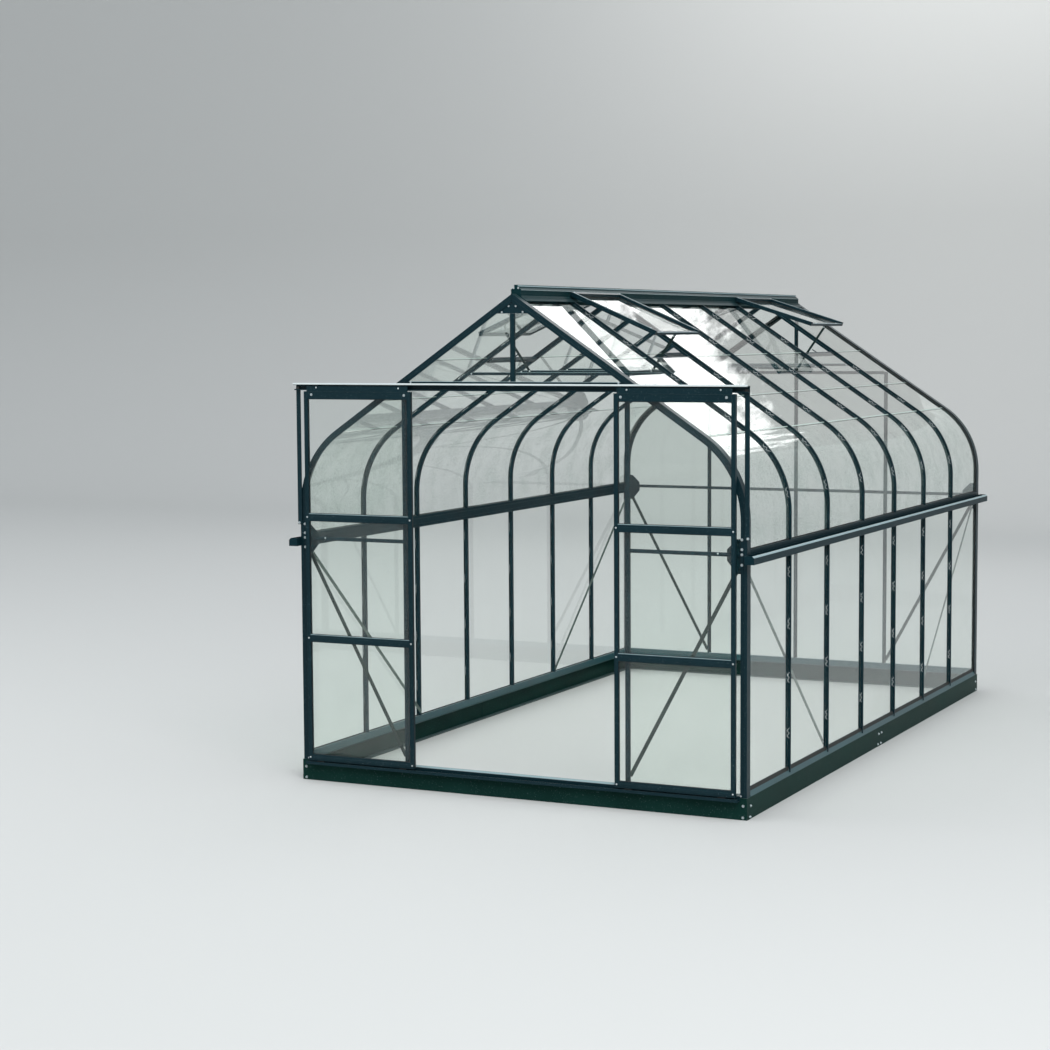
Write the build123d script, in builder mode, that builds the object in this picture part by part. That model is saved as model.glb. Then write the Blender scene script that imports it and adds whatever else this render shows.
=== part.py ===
"""Curved-eave glass greenhouse: an aluminium frame on a low base, two sliding doors in the front gable.

Millimetres. X runs across the house, Y along it with the doors at -Y, and Z up. The origin is on the
ground in the middle of the house. Depth is always measured inwards from the outer face of the frame.
"""

import os
from math import atan2, cos, degrees, radians, sin, tan

from build123d import *

os.makedirs("parts", exist_ok=True)

# Overall form
bay_pitch = 622
side_bays = 7
end_allowance = 28
half_width = 1272
eave_top = 1336
spring_rise = 140.17
roof_pitch = 34
eave_radius = 500
fit = 0.3

# Base and sills
base_height = 110
base_flange = 40
base_gauge = 2.5
base_proud = 4
base_plate_leg = 60
splice_length = 160
sill_height = 40
sill_gauge = 2.5
sill_depth = 28

# Corner posts and gable rafters
leg_gauge = 3
leg_step = 2
leg_step_width = 20
leg_face = 34
leg_depth = 50
apex_gap = 1

# Glazing bars
cap_width = 14
cap_gauge = 3
glass_gauge = 3
glass_setback = 12
web_gauge = 4
foot_width = 18
bar_depth = 28
flange_width = 12
flange_gauge = 3
glass_edge_gap = 4

# Gutters
eave_beam_height = 68
eave_beam_depth = 25
gutter_reach = 50
gutter_drop = 66
gutter_lip_drop = 23
gutter_roll = 11
gutter_gauge = 2.5
gutter_overrun = 37.5

# Ridge
ridge_rise = 46
ridge_drop = 52
ridge_width = 56
ridge_crest_width = 20
ridge_crest_height = 12
ridge_weathering = 13
ridge_nose = 2
ridge_nose_gauge = 3
ridge_skirt = 30
ridge_skirt_gauge = 3
ridge_bevel = 6

# Roof glass rows, measured across the house
lap_inner = 475
lap_outer = 790
lap_gap = 2

# Front gable
jamb_offset = 2
gable_bar_width = 24
gable_bar_depth = 30
eave_rail_drop = 23
eave_rail_height = 20
lintel_drop = 30.4
threshold_rise = 10
channel_clearance = 9
channel_lip_drop = 2
rib_gauge = 2
rib_height = 12
gusset_drop = 94
gusset_rise = 77
gusset_width = 104
gusset_gauge = 2
apex_gusset_drop = 100
apex_gusset_rim = 12
glass_rim = 8
brace_width = 20
brace_gauge = 3

# Rear gable
rear_tie_drop = 24

# Collar ties
collar_reach = 560
collar_size = 15
collar_gauge = 2.5

# Roof vents
vent_length = 530
vent_overlap = 4
vent_frame = 22
vent_thickness = 24
vent_bottom_bar = 14
vent_glass_rise = 3
front_vent_pitch = 23.3
rear_vent_pitch = 17.7
transom_width = 25
transom_depth = 18
stay_length = 260
stay_lean = 35
stay_width = 14
stay_gauge = 3
peg_reach = 34
peg_width = 8
peg_gauge = 5

# Door track
track_drop = 3
track_gauge = 4
track_fold_gauge = 3
track_hem = 6
track_height = 34
track_ledge = 23
track_lip_height = 3
track_hood = 37
track_overhang = 13
strut_width = 25
strut_foot_rise = 49

# Sliding doors
door_overlap = 12
door_setback = 58
door_bottom = 113
door_head_gap = 11
door_gap = 11
door_depth = 20
door_skin = 3
stile_width = 22
rail_height = 40
bottom_rail_height = 34
head_rail_height = 69
head_box_height = 40
head_panel_inset = 17
door_groove = 8
roller_radius = 10
roller_width = 8
roller_inset = 72
roller_axle = 8
guide_length = 40
guide_width = 12
guide_channel = 14
guide_floor = 92
guide_clearance = 1

# Values that follow from the sizes above
slope = tan(radians(roof_pitch))
half_length = side_bays * bay_pitch / 2 + end_allowance
spring_x = half_width - eave_radius
spring_z = eave_top + spring_rise
apex_height = spring_z + half_width * slope + eave_radius * tan(radians((90 - roof_pitch) / 2))
ridge_top = apex_height + ridge_rise
ridge_foot = apex_height - ridge_drop
eave_underside = eave_top - eave_beam_height
eave_rail_z = eave_top - eave_rail_drop
gutter_floor = eave_top - gutter_drop
gutter_lip = eave_top - gutter_lip_drop
glass_depth = glass_setback
behind_glass = glass_depth + glass_gauge + fit
haunch_x = spring_x + (eave_radius - behind_glass) * sin(radians(roof_pitch))
bar_stations = [bay_pitch * (i + 1 - side_bays / 2) for i in range(side_bays - 1)]
bay_centres = [bay_pitch * (i + 0.5 - side_bays / 2) for i in range(side_bays)]
vent_centres = (bay_centres[1], bay_centres[-2])
vent_pitches = (front_vent_pitch, rear_vent_pitch)
vent_width = bay_pitch + 2 * vent_overlap
pane_width = bay_pitch - web_gauge - 2 * glass_edge_gap
sill_top = base_height + sill_height
threshold_top = base_height + threshold_rise
post_gap_y = half_length - leg_depth - fit
gable_glass_depth = leg_step + leg_gauge + fit
behind_gable_glass = gable_glass_depth + glass_gauge + fit
gable_brace_depth = behind_gable_glass + gusset_gauge + fit
gable_cap_back = leg_step + cap_gauge
gable_flange_depth = gable_bar_depth - flange_gauge
ridge_side = ridge_width / 2 + fit
door_front = half_length + door_gap + door_depth


def slope_height(x, depth=0):
    """Height of the roof slope at x, at a depth below its outer face."""
    return apex_height - x * slope - depth / cos(radians(roof_pitch))


def front_plane(depth):
    """Upright plane behind the outer face of the front gable; its normal points out of the house."""
    return Plane.XZ.offset(half_length - depth)


def bent_piece(strips, foot):
    """Right-hand piece that rises from foot, bends round the eave and climbs the slope.

    Each strip is (outer depth, inner depth, low Y, high Y, head X), and its head is cut plumb.
    """
    with BuildPart() as piece:
        for outer, inner, low, high, head in strips:
            outside = half_width - outer
            inside = half_width - inner
            with BuildSketch(Plane.XZ.offset(-high)):
                with BuildLine():
                    bend = CenterArc((spring_x, spring_z), eave_radius - outer, 0, 90 - roof_pitch)
                    inner_bend = CenterArc((spring_x, spring_z), eave_radius - inner, 0, 90 - roof_pitch)
                    crown = (head, slope_height(head, outer))
                    inner_crown = (head, slope_height(head, inner))
                    Polyline((inside, spring_z), (inside, foot), (outside, foot), (outside, spring_z))
                    Polyline(bend @ 1, crown, inner_crown, inner_bend @ 1)
                make_face()
            extrude(amount=high - low)
    return piece.part


def gable_upright(x, low, high):
    """Upright glazing bar in the front gable: cap, web and inner flange."""
    layers = (
        (leg_step, gable_cap_back, gable_bar_width),
        (gable_cap_back, gable_flange_depth, web_gauge),
        (gable_flange_depth, gable_bar_depth, flange_width),
    )
    with BuildPart() as bar:
        for near, far, width in layers:
            with BuildSketch(front_plane(near)):
                with Locations((x, (low + high) / 2)):
                    Rectangle(width, high - low)
            extrude(amount=near - far)
    return bar.part


def gable_rail(z, height, left, right, back_left, back_right):
    """Level glazing bar in the front gable; its web and flange run between the two back ends."""
    layers = (
        (leg_step, gable_cap_back, height, left, right),
        (gable_cap_back, gable_flange_depth, web_gauge, back_left, back_right),
        (gable_flange_depth, gable_bar_depth, flange_width, back_left, back_right),
    )
    with BuildPart() as rail:
        for near, far, width, start, end in layers:
            with BuildSketch(front_plane(near)):
                with Locations(((start + end) / 2, z)):
                    Rectangle(end - start, width)
            extrude(amount=near - far)
    return rail.part


def flat_bar(plane, start, end, width, gauge):
    """Flat bar between two points of a plane, its thickness along the plane's normal."""
    run = Vector(*end) - Vector(*start)
    middle = (Vector(*start) + Vector(*end)) / 2
    with BuildPart() as bar:
        with BuildSketch(plane):
            with Locations(middle):
                Rectangle(run.length, width, rotation=degrees(atan2(run.Y, run.X)))
        extrude(amount=gauge)
    return bar.part


# Base: four folded channels, mitred at the corners
base_x = half_width + base_proud
base_y = half_length + base_proud

with BuildPart() as side_channel:
    with BuildSketch(Plane.XZ):
        with Locations((base_x, base_height / 2)):
            Rectangle(base_gauge, base_height, align=(Align.MAX, Align.CENTER))
        with Locations((base_x, base_height), (base_x, base_gauge)):
            Rectangle(base_flange, base_gauge, align=(Align.MAX, Align.MAX))
    extrude(amount=base_y, both=True)
    split(bisect_by=Plane(origin=(base_x, -base_y + fit, 0), z_dir=(1, 1, 0)), keep=Keep.TOP)
    split(bisect_by=Plane(origin=(base_x, base_y - fit, 0), z_dir=(-1, 1, 0)), keep=Keep.BOTTOM)

with BuildPart() as end_channel:
    with BuildSketch(Plane.YZ):
        with Locations((-base_y, base_height / 2)):
            Rectangle(base_gauge, base_height, align=(Align.MIN, Align.CENTER))
        with Locations((-base_y, base_height), (-base_y, base_gauge)):
            Rectangle(base_flange, base_gauge, align=(Align.MIN, Align.MAX))
    extrude(amount=base_x, both=True)
    split(bisect_by=Plane(origin=(base_x, -base_y, 0), z_dir=(1, 1, 0)), keep=Keep.BOTTOM)
    split(bisect_by=Plane(origin=(-base_x, -base_y, 0), z_dir=(-1, 1, 0)), keep=Keep.BOTTOM)

with BuildPart() as base_channels:
    add(side_channel.part)
    add(end_channel.part)
    mirror(side_channel.part, about=Plane.YZ)
    mirror(end_channel.part, about=Plane.XZ)
base_channels.part.label = "base_channels"
export_step(base_channels.part, "parts/base_channels.step")

# Angle plates inside the base corners and splice plates halfway along its sides
plate_height = base_height - 2 * base_gauge - 2 * fit
with BuildPart() as base_plates:
    inner_x = base_x - base_gauge - fit
    inner_y = base_y - base_gauge - fit
    with BuildSketch(Plane.XY.offset(base_gauge + fit)):
        with Locations((inner_x, -inner_y)):
            Rectangle(base_plate_leg, base_gauge, align=(Align.MAX, Align.MIN))
            Rectangle(base_gauge, base_plate_leg, align=(Align.MAX, Align.MIN))
    extrude(amount=plate_height)
    with BuildSketch(Plane.XY.offset(base_gauge + fit)):
        with Locations((inner_x, 0)):
            Rectangle(base_gauge, splice_length, align=(Align.MAX, Align.CENTER))
    extrude(amount=plate_height)
    mirror(about=Plane.YZ)
    mirror(about=Plane.XZ)
base_plates.part.label = "base_plates"
export_step(base_plates.part, "parts/base_plates.step")

# Sills: a folded ledge under the glass, sloping out to the face of the base


def sill_section(face, glass_back, depth):
    """Section of a sill for a wall whose outer face is at this distance from the middle of the house."""
    foot = face + base_proud
    head = face - glass_back
    inner = face - depth
    with BuildSketch() as section:
        with BuildLine():
            Polyline(
                (foot, base_height),
                (head, sill_top),
                (inner, sill_top),
                (inner, base_height),
                (inner + sill_gauge, base_height),
                (inner + sill_gauge, sill_top - sill_gauge),
                (head - sill_gauge, sill_top - sill_gauge),
                (foot - sill_gauge, base_height),
                close=True,
            )
        make_face()
    return section.sketch


with BuildPart() as sills:
    with BuildSketch(Plane.XZ):
        add(sill_section(half_width, behind_glass, sill_depth))
    extrude(amount=post_gap_y, both=True)
    mirror(about=Plane.YZ)
    with BuildSketch(Plane.YZ):
        add(sill_section(half_length, behind_gable_glass, gable_bar_depth))
    extrude(amount=half_width - leg_face - fit, both=True)
sills.part.label = "sills"
export_step(sills.part, "parts/sills.step")

# Front threshold with the channel that guides the doors
guide_y = -(half_length + door_gap + door_depth / 2)
channel_front = -(door_front + channel_clearance)
channel_lip_height = base_height - guide_floor - channel_lip_drop
with BuildPart() as threshold:
    with BuildSketch(Plane.YZ):
        with Locations((-half_length + leg_depth, base_height)):
            Rectangle(leg_depth, threshold_rise, align=(Align.MAX, Align.MIN))
        with Locations((channel_front, guide_floor)):
            Rectangle(-base_y - channel_front, sill_gauge, align=(Align.MIN, Align.MIN))
            Rectangle(sill_gauge, channel_lip_height, align=(Align.MIN, Align.MIN))
        with Locations((guide_y - guide_channel / 2, guide_floor)):
            Rectangle(rib_gauge, rib_height, align=(Align.MAX, Align.MIN))
        with Locations((guide_y + guide_channel / 2, guide_floor)):
            Rectangle(rib_gauge, rib_height, align=(Align.MIN, Align.MIN))
        with Locations((-base_y, guide_floor)):
            Rectangle(sill_gauge, threshold_top - guide_floor, align=(Align.MAX, Align.MIN))
        with Locations((-base_y - sill_gauge, threshold_top)):
            Rectangle(base_proud + sill_gauge + leg_depth, sill_gauge, align=(Align.MIN, Align.MAX))
    extrude(amount=half_width - leg_face - fit, both=True)
threshold.part.label = "threshold"
export_step(threshold.part, "parts/threshold.step")

# Corner posts: stepped angles from the base to the eaves
with BuildPart() as corner_posts:
    with BuildSketch(Plane.XY.offset(base_height)):
        with Locations((half_width, -half_length + leg_step)):
            Rectangle(leg_face, leg_gauge, align=(Align.MAX, Align.MIN))
            Rectangle(leg_gauge, leg_depth - leg_step, align=(Align.MAX, Align.MIN))
        with Locations((half_width - leg_step_width, -half_length)):
            Rectangle(leg_face - leg_step_width, leg_step + leg_gauge, align=(Align.MAX, Align.MIN))
    extrude(amount=eave_top - base_height)
    mirror(about=Plane.YZ)
    mirror(about=Plane.XZ)
corner_posts.part.label = "corner_posts"
export_step(corner_posts.part, "parts/corner_posts.step")

# Gable rafters: the same stepped angle bent round the eave, with a mitre at the apex
rafter_strips = (
    (0, leg_step_width, -half_length + leg_step, -half_length + leg_step + leg_gauge, apex_gap),
    (leg_step_width, leg_face, -half_length, -half_length + leg_step + leg_gauge, apex_gap),
    (0, leg_gauge, -half_length + leg_step, -half_length + leg_depth, ridge_side),
)

with BuildPart() as gable_rafters:
    add(bent_piece(rafter_strips, eave_top))
    mirror(about=Plane.YZ)
    mirror(about=Plane.XZ)
gable_rafters.part.label = "gable_rafters"
export_step(gable_rafters.part, "parts/gable_rafters.step")

# Side wall glazing bars: a head outside, a web, and a foot behind that the panes rest on
bar_layers = (
    (0, cap_gauge, cap_width),
    (cap_gauge, behind_glass, web_gauge),
    (behind_glass, bar_depth, foot_width),
)
with BuildSketch() as bar_section:
    for outer, inner, width in bar_layers:
        with Locations((half_width - (outer + inner) / 2, 0)):
            Rectangle(inner - outer, width)

cap_foot = base_height + sill_height * (base_proud + cap_gauge) / (base_proud + behind_glass) + fit
with BuildPart() as side_bars_right:
    for y in bar_stations:
        with BuildSketch(Plane((0, y, sill_top))):
            add(bar_section.sketch)
        extrude(amount=eave_underside - sill_top)
        with BuildSketch(Plane((0, y, cap_foot))):
            with Locations((half_width - cap_gauge / 2, 0)):
                Rectangle(cap_gauge, cap_width)
        extrude(amount=sill_top - cap_foot)
side_bars_right.part.label = "side_bars_right"
export_step(side_bars_right.part, "parts/side_bars_right.step")

with BuildPart() as side_bars_left:
    mirror(side_bars_right.part, about=Plane.YZ)
side_bars_left.part.label = "side_bars_left"
export_step(side_bars_left.part, "parts/side_bars_left.step")

# Gutters: a hollow eave beam between the posts, with the trough along its outer face
gutter_face = half_width + gutter_reach
with BuildPart() as gutter_right:
    with BuildSketch(Plane.XZ):
        with Locations((half_width, (eave_underside + eave_top) / 2)):
            Rectangle(eave_beam_depth, eave_top - eave_underside, align=(Align.MAX, Align.CENTER))
        with Locations((half_width - gutter_gauge, (eave_underside + eave_top) / 2)):
            Rectangle(
                eave_beam_depth - 2 * gutter_gauge,
                eave_top - eave_underside - 2 * gutter_gauge,
                align=(Align.MAX, Align.CENTER),
                mode=Mode.SUBTRACT,
            )
    extrude(amount=post_gap_y, both=True)
    with BuildSketch(Plane.XZ):
        with BuildLine():
            Polyline(
                (half_width, gutter_floor),
                (gutter_face, gutter_floor),
                (gutter_face, gutter_lip - gutter_roll),
                (gutter_face - gutter_roll, gutter_lip),
                (gutter_face - gutter_roll, gutter_lip - gutter_gauge),
                (gutter_face - gutter_gauge, gutter_lip - gutter_roll),
                (gutter_face - gutter_gauge, gutter_floor + gutter_gauge),
                (half_width + fit + gutter_gauge, gutter_floor + gutter_gauge),
                (half_width + fit + gutter_gauge, gutter_lip),
                (half_width + fit, gutter_lip),
                (half_width + fit, gutter_floor + gutter_gauge),
                (half_width, gutter_floor + gutter_gauge),
                close=True,
            )
        make_face()
    extrude(amount=half_length + gutter_overrun, both=True)
gutter_right.part.label = "gutter_right"
export_step(gutter_right.part, "parts/gutter_right.step")

with BuildPart() as gutter_left:
    mirror(gutter_right.part, about=Plane.YZ)
gutter_left.part.label = "gutter_left"
export_step(gutter_left.part, "parts/gutter_left.step")

with BuildPart() as gutter_ends:
    with BuildSketch(Plane.XZ.offset(half_length + gutter_overrun)):
        with BuildLine():
            Polyline(
                (half_width, gutter_floor),
                (gutter_face, gutter_floor),
                (gutter_face, gutter_lip - gutter_roll),
                (gutter_face - gutter_roll, gutter_lip),
                (half_width, gutter_lip),
                close=True,
            )
        make_face()
    extrude(amount=gutter_gauge)
    mirror(about=Plane.YZ)
    mirror(about=Plane.XZ)
gutter_ends.part.label = "gutter_ends"
export_step(gutter_ends.part, "parts/gutter_ends.step")

# Roof bars, bent over the eave in one piece
roof_bar_strips = [(outer, inner, -width / 2, width / 2, ridge_side) for outer, inner, width in bar_layers]
roof_bar = bent_piece(roof_bar_strips, eave_top)

with BuildPart() as roof_bars_right:
    with Locations([(0, y, 0) for y in bar_stations]):
        add(roof_bar)
roof_bars_right.part.label = "roof_bars_right"
export_step(roof_bars_right.part, "parts/roof_bars_right.step")

with BuildPart() as roof_bars_left:
    mirror(roof_bars_right.part, about=Plane.YZ)
roof_bars_left.part.label = "roof_bars_left"
export_step(roof_bars_left.part, "parts/roof_bars_left.step")

# Ridge: a box between the bar heads that runs on between the gable rafters, with a crest,
# a sloped weathering and a skirt over each slope that stop behind them
crest = ridge_crest_width / 2
fascia = ridge_width / 2
nose = fascia + ridge_nose
nose_top = ridge_top - ridge_crest_height - ridge_weathering
nose_foot = nose_top - ridge_nose_gauge
skirt_tip = fascia + ridge_skirt
skirt_top = -ridge_skirt_gauge - fit
bevel_tip = fascia + ridge_bevel
ridge_head = ((0, ridge_top), (crest, ridge_top), (crest, ridge_top - ridge_crest_height))
ridge_nose_points = ((nose, nose_top), (nose, nose_foot), (fascia, nose_foot))
with BuildPart() as ridge:
    with BuildSketch(Plane.XZ):
        with BuildLine():
            Polyline(
                *ridge_head,
                *ridge_nose_points,
                (fascia, slope_height(fascia, skirt_top) + ridge_bevel),
                (bevel_tip, slope_height(bevel_tip, skirt_top)),
                (skirt_tip, slope_height(skirt_tip, skirt_top)),
                (skirt_tip, slope_height(skirt_tip, -fit)),
                (fascia, slope_height(fascia, -fit)),
                (fascia, ridge_foot),
                (0, ridge_foot),
                close=True,
            )
        make_face()
        mirror(about=Plane.YZ)
    extrude(amount=post_gap_y, both=True)
    with BuildSketch(Plane.XZ):
        with BuildLine():
            Polyline(
                (0, apex_height),
                (fascia, slope_height(fascia)),
                (fascia, ridge_foot),
                (0, ridge_foot),
                close=True,
            )
        make_face()
        mirror(about=Plane.YZ)
    extrude(amount=half_length - behind_gable_glass, both=True)
ridge.part.label = "ridge"
export_step(ridge.part, "parts/ridge.step")

# Front gable frame
jamb_x = half_width / 2 - jamb_offset
lintel_z = slope_height(jamb_x) - lintel_drop
apex_gusset_foot = apex_height - apex_gusset_drop
lintel_reach = (slope_height(0, leg_face) - lintel_z + gable_bar_width / 2) / slope
rafter_edge = Plane(origin=(0, 0, slope_height(0, leg_face) - fit), z_dir=(slope, 0, 1))
jamb_head = slope_height(jamb_x + gable_bar_width / 2, leg_face) - fit
jamb_inner = jamb_x - gable_bar_width / 2
jamb_outer = jamb_x + gable_bar_width / 2
post_inner = half_width - leg_face

with BuildPart() as door_jambs:
    add(gable_upright(jamb_x, threshold_top, jamb_head))
    mirror(about=Plane.YZ)
door_jambs.part.label = "door_jambs"
export_step(door_jambs.part, "parts/door_jambs.step")

gusset_inner = half_width - leg_gauge - fit - gusset_width
jamb_web_outer = jamb_x + flange_width / 2 + fit
eave_rail = gable_rail(
    eave_rail_z, eave_rail_height, jamb_outer + fit, post_inner - fit, jamb_web_outer, gusset_inner - fit
)

with BuildPart() as lintel_side:
    add(gable_rail(lintel_z, gable_bar_width, 0, lintel_reach, 0, lintel_reach))
    split(bisect_by=rafter_edge, keep=Keep.BOTTOM)

with BuildPart() as front_rails:
    add(eave_rail)
    add(lintel_side.part)
    mirror(about=Plane.YZ)
    add(gable_upright(0, lintel_z + gable_bar_width / 2 + fit, apex_gusset_foot))
front_rails.part.label = "front_rails"
export_step(front_rails.part, "parts/front_rails.step")

with BuildPart() as apex_gussets:
    with BuildSketch(front_plane(gable_glass_depth)):
        with BuildLine():
            gusset_head = slope_height(0, apex_gusset_rim)
            foot_x = (gusset_head - apex_gusset_foot) / slope
            Polyline(
                (0, gusset_head),
                (foot_x, apex_gusset_foot + fit),
                (-foot_x, apex_gusset_foot + fit),
                close=True,
            )
        make_face()
    extrude(amount=-glass_gauge)
    mirror(about=Plane.XZ)
apex_gussets.part.label = "apex_gussets"
export_step(apex_gussets.part, "parts/apex_gussets.step")

with BuildPart() as eave_gussets:
    with BuildSketch(front_plane(behind_gable_glass)):
        with BuildLine():
            edge = half_width - leg_gauge - fit
            Polyline(
                (edge, eave_rail_z + gusset_rise),
                (edge - gusset_width / 2, eave_rail_z + gusset_rise),
                (edge - gusset_width, eave_rail_z + gusset_rise / 3),
                (edge - gusset_width, eave_rail_z - gusset_drop / 3),
                (edge - gusset_width / 2, eave_rail_z - gusset_drop),
                (edge, eave_rail_z - gusset_drop),
                close=True,
            )
        make_face()
    extrude(amount=-gusset_gauge)
    mirror(about=Plane.YZ)
    mirror(about=Plane.XZ)
eave_gussets.part.label = "eave_gussets"
export_step(eave_gussets.part, "parts/eave_gussets.step")

gable_brace_top = (half_width - gusset_width / 2, eave_rail_z - gusset_drop + brace_width)
gable_brace_foot = (jamb_outer + fit, sill_top + brace_width)
with BuildPart() as gable_braces:
    gable_brace_plane = front_plane(gable_brace_depth + brace_gauge)
    add(flat_bar(gable_brace_plane, gable_brace_foot, gable_brace_top, brace_width, brace_gauge))
    mirror(about=Plane.YZ)
    mirror(about=Plane.XZ)
gable_braces.part.label = "gable_braces"
export_step(gable_braces.part, "parts/gable_braces.step")

# Rear gable frame
rear_tie_z = lintel_z - rear_tie_drop
with BuildPart() as rear_studs:
    add(gable_upright(jamb_x, sill_top, jamb_head))
    add(gable_upright(0, sill_top, apex_gusset_foot))
    mirror(about=Plane.YZ)
    mirror(about=Plane.XZ, mode=Mode.REPLACE)
rear_studs.part.label = "rear_studs"
export_step(rear_studs.part, "parts/rear_studs.step")

stud_side = gable_bar_width / 2 + fit
stud_back = flange_width / 2 + fit
with BuildPart() as rear_rails:
    add(eave_rail)
    for z in (eave_rail_z, rear_tie_z):
        add(gable_rail(z, eave_rail_height, stud_side, jamb_inner - fit, stud_back, jamb_x - stud_back))
    mirror(about=Plane.YZ)
    mirror(about=Plane.XZ, mode=Mode.REPLACE)
rear_rails.part.label = "rear_rails"
export_step(rear_rails.part, "parts/rear_rails.step")

# Side wall braces, behind the webs of the glazing bars
side_brace_x = half_width - bar_depth - fit - brace_gauge
side_brace_plane = Plane(origin=(side_brace_x, 0, 0), x_dir=(0, 1, 0), z_dir=(1, 0, 0))
side_brace_foot = (bar_stations[1], sill_top + brace_width)
side_brace_top = (-post_gap_y, eave_underside - brace_width)
with BuildPart() as side_braces:
    add(flat_bar(side_brace_plane, side_brace_foot, side_brace_top, brace_width, brace_gauge))
    mirror(about=Plane.YZ)
    mirror(about=Plane.XZ)
side_braces.part.label = "side_braces"
export_step(side_braces.part, "parts/side_braces.step")

# Glass of the side walls, eaves and roof
with BuildPart() as side_glass_right:
    with BuildSketch(Plane.XY.offset(sill_top + fit)):
        with Locations([(half_width - glass_depth - glass_gauge / 2, y) for y in bay_centres]):
            Rectangle(glass_gauge, pane_width)
    extrude(amount=eave_underside - sill_top - 2 * fit)
side_glass_right.part.label = "side_glass_right"
export_step(side_glass_right.part, "parts/side_glass_right.step")

with BuildPart() as side_glass_left:
    mirror(side_glass_right.part, about=Plane.YZ)
side_glass_left.part.label = "side_glass_left"
export_step(side_glass_left.part, "parts/side_glass_left.step")

eave_pane = bent_piece(
    ((glass_depth, glass_depth + glass_gauge, -pane_width / 2, pane_width / 2, haunch_x - lap_gap),),
    eave_top + fit,
)
with BuildPart() as eave_glass_right:
    with Locations([(0, y, 0) for y in bay_centres]):
        add(eave_pane)
eave_glass_right.part.label = "eave_glass_right"
export_step(eave_glass_right.part, "parts/eave_glass_right.step")

with BuildPart() as eave_glass_left:
    mirror(eave_glass_right.part, about=Plane.YZ)
eave_glass_left.part.label = "eave_glass_left"
export_step(eave_glass_left.part, "parts/eave_glass_left.step")

roof_rows = (
    (ridge_side + apex_gap, lap_inner),
    (lap_inner + lap_gap, lap_outer),
    (lap_outer + lap_gap, haunch_x - 2 * lap_gap),
)
with BuildPart() as roof_glass_right:
    for y in bay_centres:
        for head, foot in roof_rows[1:] if y in vent_centres else roof_rows:
            with BuildSketch(Plane.XZ.offset(-y)):
                with BuildLine():
                    Polyline(
                        (head, slope_height(head, glass_depth)),
                        (foot, slope_height(foot, glass_depth)),
                        (foot, slope_height(foot, glass_depth + glass_gauge)),
                        (head, slope_height(head, glass_depth + glass_gauge)),
                        close=True,
                    )
                make_face()
            extrude(amount=pane_width / 2, both=True)
roof_glass_right.part.label = "roof_glass_right"
export_step(roof_glass_right.part, "parts/roof_glass_right.step")

with BuildPart() as roof_glass_left:
    mirror(roof_glass_right.part, about=Plane.YZ)
roof_glass_left.part.label = "roof_glass_left"
export_step(roof_glass_left.part, "parts/roof_glass_left.step")

# Glass of the gables
edge_gap = web_gauge / 2 + glass_edge_gap
pane_side = half_width - glass_rim
pane_start = jamb_x + edge_gap
lower_pane_top = eave_rail_z - edge_gap
gusset_half = (slope_height(0, glass_rim) - apex_gusset_foot) / slope
with BuildSketch() as upper_side_pane:
    with BuildLine():
        pane_bend = CenterArc((spring_x, spring_z), eave_radius - glass_rim, 0, 90 - roof_pitch)
        Polyline(
            (pane_side, spring_z),
            (pane_side, eave_rail_z + edge_gap),
            (pane_start, eave_rail_z + edge_gap),
            (pane_start, slope_height(pane_start, glass_rim)),
            pane_bend @ 1,
        )
    make_face()

with BuildPart() as front_glass:
    with BuildSketch(front_plane(gable_glass_depth)):
        with Locations((pane_start, lower_pane_top)):
            lower_height = lower_pane_top - threshold_top - fit
            Rectangle(pane_side - pane_start, lower_height, align=(Align.MIN, Align.MAX))
        add(upper_side_pane.sketch)
        with BuildLine():
            foot_z = lintel_z + edge_gap
            Polyline(
                (edge_gap, foot_z),
                ((slope_height(0, glass_rim) - foot_z) / slope, foot_z),
                (gusset_half, apex_gusset_foot),
                (edge_gap, apex_gusset_foot),
                close=True,
            )
        make_face()
    extrude(amount=-glass_gauge)
    mirror(about=Plane.YZ)
front_glass.part.label = "front_glass"
export_step(front_glass.part, "parts/front_glass.step")

top_side = jamb_x - edge_gap
with BuildPart() as rear_glass:
    with BuildSketch(front_plane(gable_glass_depth)):
        with Locations((pane_start, lower_pane_top)):
            Rectangle(pane_side - pane_start, lower_pane_top - sill_top - fit, align=(Align.MIN, Align.MAX))
        with Locations((edge_gap, lower_pane_top)):
            Rectangle(top_side - edge_gap, lower_pane_top - sill_top - fit, align=(Align.MIN, Align.MAX))
        with Locations((edge_gap, eave_rail_z + edge_gap)):
            tie_height = rear_tie_z - eave_rail_z - 2 * edge_gap
            Rectangle(top_side - edge_gap, tie_height, align=(Align.MIN, Align.MIN))
        add(upper_side_pane.sketch)
        with BuildLine():
            tie_edge = rear_tie_z + edge_gap
            Polyline(
                (edge_gap, tie_edge),
                (top_side, tie_edge),
                (top_side, slope_height(top_side, glass_rim)),
                (gusset_half, apex_gusset_foot),
                (edge_gap, apex_gusset_foot),
                close=True,
            )
        make_face()
    extrude(amount=-glass_gauge)
    mirror(about=Plane.YZ)
    mirror(about=Plane.XZ, mode=Mode.REPLACE)
rear_glass.part.label = "rear_glass"
export_step(rear_glass.part, "parts/rear_glass.step")

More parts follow.
